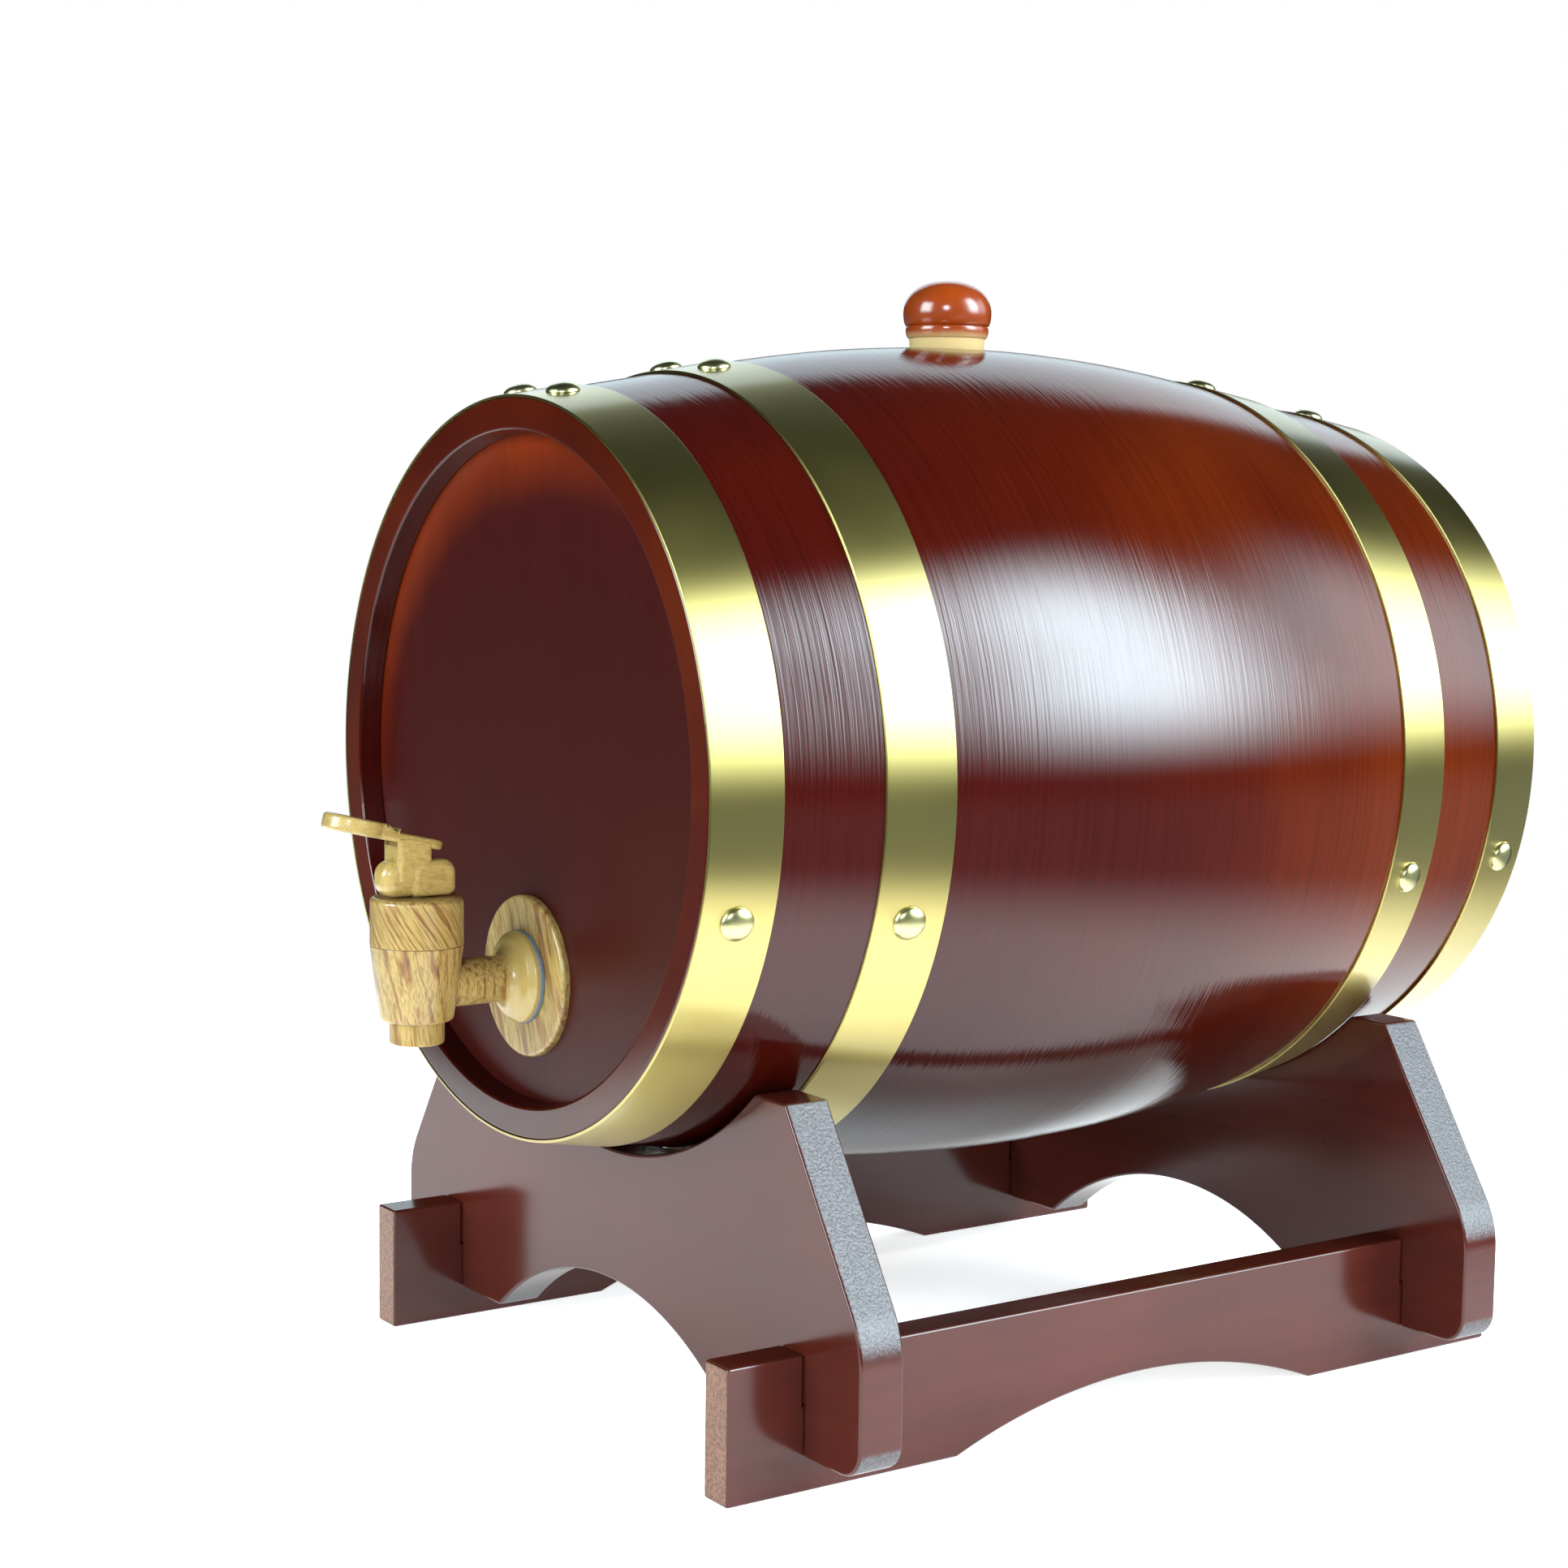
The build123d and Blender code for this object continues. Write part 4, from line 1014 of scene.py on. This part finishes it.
def lever_foot(tap, here):
    """The lever's foot, as its broad part and its narrower rounded nose."""
    half, high, front = tap.foot_length / 2, tap.foot_height, tap.foot_length / 2 + tap.nose_reach
    step = 0.0062 - half
    side = [(step, 0.0, 0.0027), (half, 0.0, 0.0027), (half, high, 0.0042), (step, high, 0.0042)]
    nose_side = [(-front, 0.0, 0.0046), (0.0, 0.0, 0.0), (0.0, high, 0.0), (-front, high, 0.0046)]
    # The side view's u runs along Y and its v up; the board's own thickness runs along X.
    on_side = Matrix(((0, 0, 1, -tap.foot_width / 2), (1, 0, 0, 0), (0, 1, 0, 0), (0, 0, 0, 1)))
    inset = 0.0013
    within = here @ Matrix.Translation((inset, 0, 0)) @ on_side
    return (
        board(rounded(side, 11.25), tap.foot_width, here @ on_side, 0.0024, 6),
        board(rounded(nose_side, 11.25), tap.foot_width - 2 * inset, within, 0.0036, 7),
    )


def lever_arm(tap, place):
    """The arm with its round thumb paddle, which is thicker than the arm by a smooth ramp."""
    round_end, thick = tap.arm_width / 2, tap.arm_thickness
    opening = math.degrees(math.asin(round_end / tap.paddle_radius))
    front = arc(0.0, -tap.paddle_reach, tap.paddle_radius, 90.0 - opening, -270.0 + opening, 48)
    back = arc(0.0, tap.arm_back, round_end, 180.0, 0.0, 16)
    cuts = [-0.0135 + i * 0.0005 for i in range(11)]
    ramp_start, ramp_length = -0.0088, 0.0044
    left = [(-round_end, y, 0.0) for y in cuts]
    right = [(round_end, y, 0.0) for y in reversed(cuts)]
    arm = board([(u, v) for u, v, _ in front + left + back + right], thick, Matrix())
    for y in cuts:
        split_across(arm, (0, y, 0), (0, 1, 0), dist=1e-7)
    for vert in arm.verts:
        if vert.co.z > thick / 2:
            share = min(1.0, max(0.0, (ramp_start - vert.co.y) / ramp_length))
            vert.co.z += tap.paddle_rise * share * share * (3 - 2 * share)
    rim = [
        e for e in arm.edges
        if e.calc_face_angle(0.0) > math.radians(50) and abs(e.verts[0].co.z - e.verts[1].co.z) < 0.0012
    ]
    bevelled(arm, rim, 0.0011, 4)
    arm.transform(place)
    return arm


def lever_neck(tap, here, tilted):
    """The block between foot and arm, cut off slanting inside the arm."""
    half, front, back = tap.neck_width / 2, -tap.neck_front, tap.arm_back
    rounding, start, height = 0.0015, 0.005, 0.0125
    corners = (-half, front), (half, front), (half, back), (-half, back)
    plan = rounded([(u, v, rounding) for u, v in corners], 15.0)
    neck = board(plan, height, here @ Matrix.Translation((0, 0, start)))
    inside = tilted @ Matrix.Translation((0.0, 0.0, tap.arm_thickness / 2))
    split_across(neck, inside.translation, inside.to_3x3() @ Vector((0, 0, 1)), clear_outer=True)
    bmesh.ops.holes_fill(neck, edges=[e for e in neck.edges if e.is_boundary])
    bmesh.ops.recalc_face_normals(neck, faces=neck.faces)
    return neck


class BARREL_OT_tap_lever(bpy.types.Operator):
    """Moulds the lever: foot, neck, arm and thumb paddle"""

    bl_idname = "barrel.tap_lever"
    bl_label = "Lever"

    def execute(self, context):
        tap = context.scene.tap_sizes
        valve_y, pipe_z, _ = tap_places(context)
        sole = pipe_z + BODY_RISE + tap.collar_height + tap.foot_gap
        here = Matrix.Translation((0.0, valve_y, sole))
        tilted = here @ (Matrix.Translation((0, 0, tap.arm_height)) @ Matrix.Rotation(-tap.arm_tilt, 4, "X"))
        foot, nose = lever_foot(tap, here)
        lever = as_object("thumb_lever", foot)
        combined(lever, [nose, lever_arm(tap, tilted), lever_neck(tap, here, tilted)], "UNION")
        # A shallow slot under the arm, at the neck's front.
        wide, deep, high = 0.0041, 0.0015, 0.0014
        plan = [(-wide, -deep), (wide, -deep), (wide, deep), (-wide, deep)]
        slot = board(plan, high, tilted @ Matrix.Translation((0.0, -tap.neck_front, -high)))
        combined(lever, [slot], "DIFFERENCE")
        printed = printed_grain_plastic(
            context.scene.barrel_colours, "lever", valve_y, (1.4, 0.0, 0.3), 0.0, 0.8, 0.0014,
            print_share=0.45,
        )
        finished(lever, "thumb_lever", "lever", printed, ["tap_lever"], 42.0)
        return {"FINISHED"}


def sawn_board(node, outline, thickness, rounding, place, wood):
    """One of the stand's boards, sawn, sanded and stained, in place of its CAD node."""
    bm = board(outline, thickness, Matrix(place), rounding)
    bmesh.ops.recalc_face_normals(bm, faces=bm.faces)
    finished(bm, node + "_board", "stand", wood, [node], 40.0)


class BARREL_OT_cradles(bpy.types.Operator):
    """Saws the two cradles"""

    bl_idname = "barrel.cradles"
    bl_label = "Cradles"

    def execute(self, context):
        stand, barrel = context.scene.stand_sizes, context.scene.barrel_sizes
        colours = context.scene.barrel_colours
        middle = middle_of_barrel()
        seat = stave_radius(barrel, stand.cradle_face - stand.cradle_thickness) + stand.seat_gap
        wide, low, lap = stand.cradle_half_width, stand.cradle_underside, stand.lap_height
        rail_out = stand.rail_face + stand.lap_gap
        rail_in = stand.rail_face - stand.rail_thickness - stand.lap_gap
        arch_centre = stand.arch_crown - stand.arch_radius
        arch_half = math.degrees(math.acos((low - arch_centre) / stand.arch_radius))
        tip = math.degrees(math.asin((barrel.axis_height - stand.horn_height) / seat))
        knee = [(wide, stand.knee_height, stand.knee_rounding), (stand.horn_outer, stand.horn_height, 0)]
        notch = [(rail_in, low, 0), (rail_in, lap, 0), (rail_out, lap, 0), (rail_out, low, 0)]
        foot = [*notch, (wide, low, stand.corner_rounding)]
        corners = [
            *[(-u, v, rounding) for u, v, rounding in reversed(foot)],
            *arc(0.0, arch_centre, stand.arch_radius, 90 + arch_half, 90 - arch_half, 48),
            *foot, *knee,
            *arc(0.0, barrel.axis_height, seat, -tip, -180 + tip, 72),
            *[(-u, v, rounding) for u, v, rounding in reversed(knee)],
        ]
        outline = rounded(corners, 5.0)
        # The grain runs across the barrel, and the sawn ends are the slopes up to the tips.
        name, grain, slopes = "sawn_pine_cradles_gloss_lacquer", (9.0, 60.0, 160.0), (0.84, 0.0, 0.54)
        wood = stand_board_wood(colours, name, grain, slopes, colours.slope_end_and_sheen)
        thick = stand.cradle_thickness
        for node, y in (("front_cradle", -stand.cradle_face), ("back_cradle", stand.cradle_face - thick)):
            # The outline's u runs along X and its v up; the board's thickness runs along +Y.
            place = (1, 0, 0, 0), (0, 0, 1, middle + y), (0, 1, 0, 0), (0, 0, 0, 1)
            sawn_board(node, outline, thick, stand.edge_rounding, place, wood)
        return {"FINISHED"}


class BARREL_OT_rails(bpy.types.Operator):
    """Saws the two rails"""

    bl_idname = "barrel.rails"
    bl_label = "Rails"

    def execute(self, context):
        stand, colours = context.scene.stand_sizes, context.scene.barrel_colours
        middle = middle_of_barrel()
        half, high, lap = stand.rail_half_length, stand.rail_height, stand.lap_height
        arch_centre = stand.rail_arch_crown - stand.rail_arch_radius
        arch_half = math.degrees(math.acos(-arch_centre / stand.rail_arch_radius))
        notch = stand.cradle_face - stand.cradle_thickness / 2
        wide = stand.cradle_thickness / 2 + stand.lap_gap
        arch = arc(0.0, arch_centre, stand.rail_arch_radius, 90 + arch_half, 90 - arch_half, 40)
        outline = [(-half, 0.0), *[(u, v) for u, v, _ in arch], (half, 0.0), (half, high)]
        for at in (notch, -notch):
            outline += [(at + wide, high), (at + wide, lap), (at - wide, lap), (at - wide, high)]
        outline.append((-half, high))
        # The grain runs along the barrel, and the sawn ends face to its front and back.
        name, grain, ends = "sawn_pine_rails_gloss_lacquer", (60.0, 9.0, 160.0), (0.0, 1.0, 0.0)
        wood = stand_board_wood(colours, name, grain, ends, colours.stand_end)
        thick = stand.rail_thickness
        for node, x in (("left_rail", -stand.rail_face), ("right_rail", stand.rail_face - thick)):
            # The outline's u runs along Y and its v up; the board's thickness runs along +X.
            place = (0, 0, 1, x), (1, 0, 0, middle), (0, 1, 0, 0), (0, 0, 0, 1)
            sawn_board(node, outline, thick, stand.edge_rounding, place, wood)
        return {"FINISHED"}


# The studio

def fill_light(name, place, aim, side, watts, spread, only=None):
    """A broad square panel that fills in the shade, and has no reflection of its own in the object. It lights
    only one object where that is given."""
    lamp = bpy.data.lights.new(name, "AREA")
    lamp.shape = "SQUARE"
    lamp.size = side
    lamp.energy = watts
    lamp.spread = math.radians(spread)
    made = bpy.data.objects.new(name, lamp)
    made.location = place
    made.rotation_mode = "QUATERNION"
    made.rotation_quaternion = (Vector(aim) - Vector(place)).to_track_quat("-Z", "Y")
    made.visible_camera = False
    made.visible_glossy = False
    bpy.context.scene.collection.objects.link(made)
    if only:
        lit = bpy.data.collections.new(name + "_lights")
        lit.objects.link(only)
        made.light_linking.receiver_collection = lit


# What the object reflects, besides the floor. Each row is a soft-edged patch of light: its azimuth (0 is
# towards -Y, 90 towards +X), half width, elevation, half height and softness in degrees, and its brightness.
PATCHES = (
    (126.0, 12.0, 25.0, 18.0, 11.0, 20.0),  # the middle of the right soft box
    (112.0, 14.0, 24.0, 17.0, 9.0, 1.5),  # its dimmer rim, higher towards the front
    (150.0, 20.0, 18.0, 14.0, 8.0, 3.2),  # and its other rim, towards the back
    (-6.0, 15.0, 19.0, 14.0, 6.0, 14.0),  # the front soft box
    (50.0, 6.0, 17.0, 6.0, 5.0, 26.0),  # a small lamp beside the camera
    (-126.0, 24.0, 24.5, 15.0, 2.5, 1.35),  # the white backdrop behind the object, on the left
    (-60.0, 50.0, -20.0, 16.0, 10.0, 0.2),  # the table's dim far end
    (120.0, 60.0, -18.0, 11.0, 5.0, 0.27),  # and its right end
)
ROOM_GLOW = 0.02
ROOM_TINT = (0.83, 1.0, 1.08, 1.0)
FLOOR_GLOW = 0.43
FLOOR_CENTRE = (-0.11, -0.05, 0.0)


def patch_of_light(add, way, azimuth, half_width, elevation, half_height, softness, brightness):
    """One soft-edged patch of the studio's surroundings, as a node that gives its brightness."""
    a = math.radians(azimuth)
    ahead = add("ShaderNodeVectorMath", way, (math.sin(a), -math.cos(a), 0.0), operation="DOT_PRODUCT")
    aside = add("ShaderNodeVectorMath", way, (math.cos(a), math.sin(a), 0.0), operation="DOT_PRODUCT")
    bearing = add("ShaderNodeMath", aside, ahead, operation="ARCTAN2")
    height = add("ShaderNodeMath", add("ShaderNodeSeparateXYZ", way).outputs["Z"], operation="ARCSINE")
    rise = add("ShaderNodeMath", height, math.radians(elevation), operation="SUBTRACT")
    shares = []
    for offset, half in ((bearing, half_width), (rise, half_height)):
        away = add("ShaderNodeMath", offset, operation="ABSOLUTE")
        near, far = math.radians(half - softness), math.radians(half + softness)
        shares.append(add("ShaderNodeMapRange", away, near, far, 1.0, 0.0, **SMOOTH))
    both = add("ShaderNodeMath", *shares, operation="MULTIPLY")
    return add("ShaderNodeMath", both, brightness, operation="MULTIPLY")


def studio_world():
    """White where the camera looks at it. The object reflects soft patches of light in a dark room."""
    world = bpy.data.worlds.new("studio")
    bpy.context.scene.world = world
    world.use_nodes = True
    world.node_tree.nodes.clear()
    add = partial(add_node, world.node_tree)
    way = add("ShaderNodeTexCoord").outputs["Generated"]
    total = ROOM_GLOW
    for patch in PATCHES:
        total = add("ShaderNodeMath", total, patch_of_light(add, way, *patch), operation="ADD")
    seen = add("ShaderNodeLightPath").outputs["Is Camera Ray"]
    cool = add("ShaderNodeBackground", Color=ROOM_TINT, Strength=total)
    white = add("ShaderNodeBackground", Color=grey(1.0))
    add("ShaderNodeOutputWorld", Surface=add("ShaderNodeMixShader", seen, cool, white))


def pale_floor():
    """A round light table whose glow fades out at its rim, so that it runs into the white behind it."""
    bm = bmesh.new()
    bmesh.ops.create_circle(bm, cap_ends=True, segments=96, radius=0.66)
    bm.transform(Matrix.Translation(FLOOR_CENTRE))
    made = as_object("pale_floor", bm)
    material, add = new_material("matt_white_acrylic_lit_from_below")
    place = add("ShaderNodeTexCoord").outputs["Object"]
    away = add("ShaderNodeVectorMath", place, FLOOR_CENTRE, operation="SUBTRACT")
    far = add("ShaderNodeVectorMath", away, operation="LENGTH")
    grain = add("ShaderNodeTexNoise", place, Scale=500.0, Detail=2.0)
    tint = add("ShaderNodeValToRGB", grain, stops=[(0.4, linear("#eeeeee")), (0.6, linear("#f2f2f2"))])
    card = add("ShaderNodeBsdfDiffuse", Color=tint)
    seen = add("ShaderNodeLightPath").outputs["Is Camera Ray"]
    shine = add("ShaderNodeMapRange", seen, 0.0, 1.0, FLOOR_GLOW, 0.75)
    glow = add("ShaderNodeEmission", Color=tint, Strength=shine)
    lit = add("ShaderNodeAddShader", card, glow)
    fade = add("ShaderNodeMapRange", far, 0.38, 0.64, **SMOOTH)
    faded = add("ShaderNodeMixShader", fade, lit, add("ShaderNodeBsdfTransparent"))
    add("ShaderNodeOutputMaterial", Surface=faded)
    made.data.materials.append(material)
    return made


def photograph_camera():
    """The camera, at the place and angle worked out from the barrel's and stand's outlines."""
    camera = bpy.data.cameras.new("camera")
    camera.sensor_width = 36.0
    camera.lens = 65.04
    camera.clip_start, camera.clip_end = 0.01, 50.0
    made = bpy.data.objects.new("camera", camera)
    place = (0.75456, -0.54991, 0.28423)
    forward = Vector((-0.82055, 0.56253, -0.10127)).normalized()
    level = forward.cross(Vector((0, 0, 1))).normalized()
    above = level.cross(forward)
    roll = 0.0125
    right = level * math.cos(roll) + above * math.sin(roll)
    up = above * math.cos(roll) - level * math.sin(roll)
    turn = Matrix((right, up, -forward)).transposed().to_4x4()
    made.matrix_world = Matrix.Translation(place) @ turn
    bpy.context.scene.collection.objects.link(made)
    bpy.context.scene.camera = made


class BARREL_OT_stage(bpy.types.Operator):
    """Sets the floor, the lights and the camera"""

    bl_idname = "barrel.stage"
    bl_label = "Studio"

    def execute(self, context):
        floor = pale_floor()
        studio_world()
        fill_light("ceiling_fill", (0.2, 1.1, 1.5), (0.0, 0.05, 0.2), 1.2, 3.0, 100.0)
        fill_light("side_fill", (1.5, 0.0, 0.10), (0.0, 0.03, 0.17), 0.5, 6.0, 120.0)
        fill_light("front_fill", (0.7, -1.4, 0.45), (0.0, -0.2, 0.2), 0.7, 2.5, 100.0)
        fill_light("floor_light", (-0.1, -0.1, 1.6), (-0.1, -0.1, 0.0), 1.2, 14.0, 120.0, floor)
        photograph_camera()
        view = context.scene.view_settings
        view.view_transform = "Standard"
        view.look = "None"
        return {"FINISHED"}


class BARREL_PT_panel(bpy.types.Panel):
    """Lists the pieces and their sizes"""

    bl_label = "Wine barrel"
    bl_idname = "BARREL_PT_panel"
    bl_space_type = "VIEW_3D"
    bl_region_type = "UI"
    bl_category = "Barrel"

    def draw(self, context):
        for operator in OPERATORS:
            self.layout.operator(operator.bl_idname)
        for group in GROUPS:
            values = getattr(context.scene, group)
            box = self.layout.box()
            for name in values.bl_rna.properties.keys():
                if name not in ("rna_type", "name"):
                    box.prop(values, name)


GROUPS = {
    "barrel_sizes": BarrelSizes,
    "tap_sizes": TapSizes,
    "stand_sizes": StandSizes,
    "barrel_colours": Colours,
}
OPERATORS = (
    BARREL_OT_staves,
    BARREL_OT_heads,
    BARREL_OT_hoops,
    BARREL_OT_nails,
    BARREL_OT_bung,
    BARREL_OT_tap_body,
    BARREL_OT_tap_washers,
    BARREL_OT_tap_collar,
    BARREL_OT_valve,
    BARREL_OT_tap_lever,
    BARREL_OT_cradles,
    BARREL_OT_rails,
    BARREL_OT_stage,
)


def register():
    for name, group in GROUPS.items():
        bpy.utils.register_class(group)
        setattr(bpy.types.Scene, name, PointerProperty(type=group))
    for made in (*OPERATORS, BARREL_PT_panel):
        bpy.utils.register_class(made)


def unregister():
    for made in (BARREL_PT_panel, *reversed(OPERATORS)):
        bpy.utils.unregister_class(made)
    for name, group in GROUPS.items():
        delattr(bpy.types.Scene, name)
        bpy.utils.unregister_class(group)


def main():
    register()
    for operator in OPERATORS:
        module, name = operator.bl_idname.split(".")
        getattr(getattr(bpy.ops, module), name)()


if __name__ == "__main__":
    main()
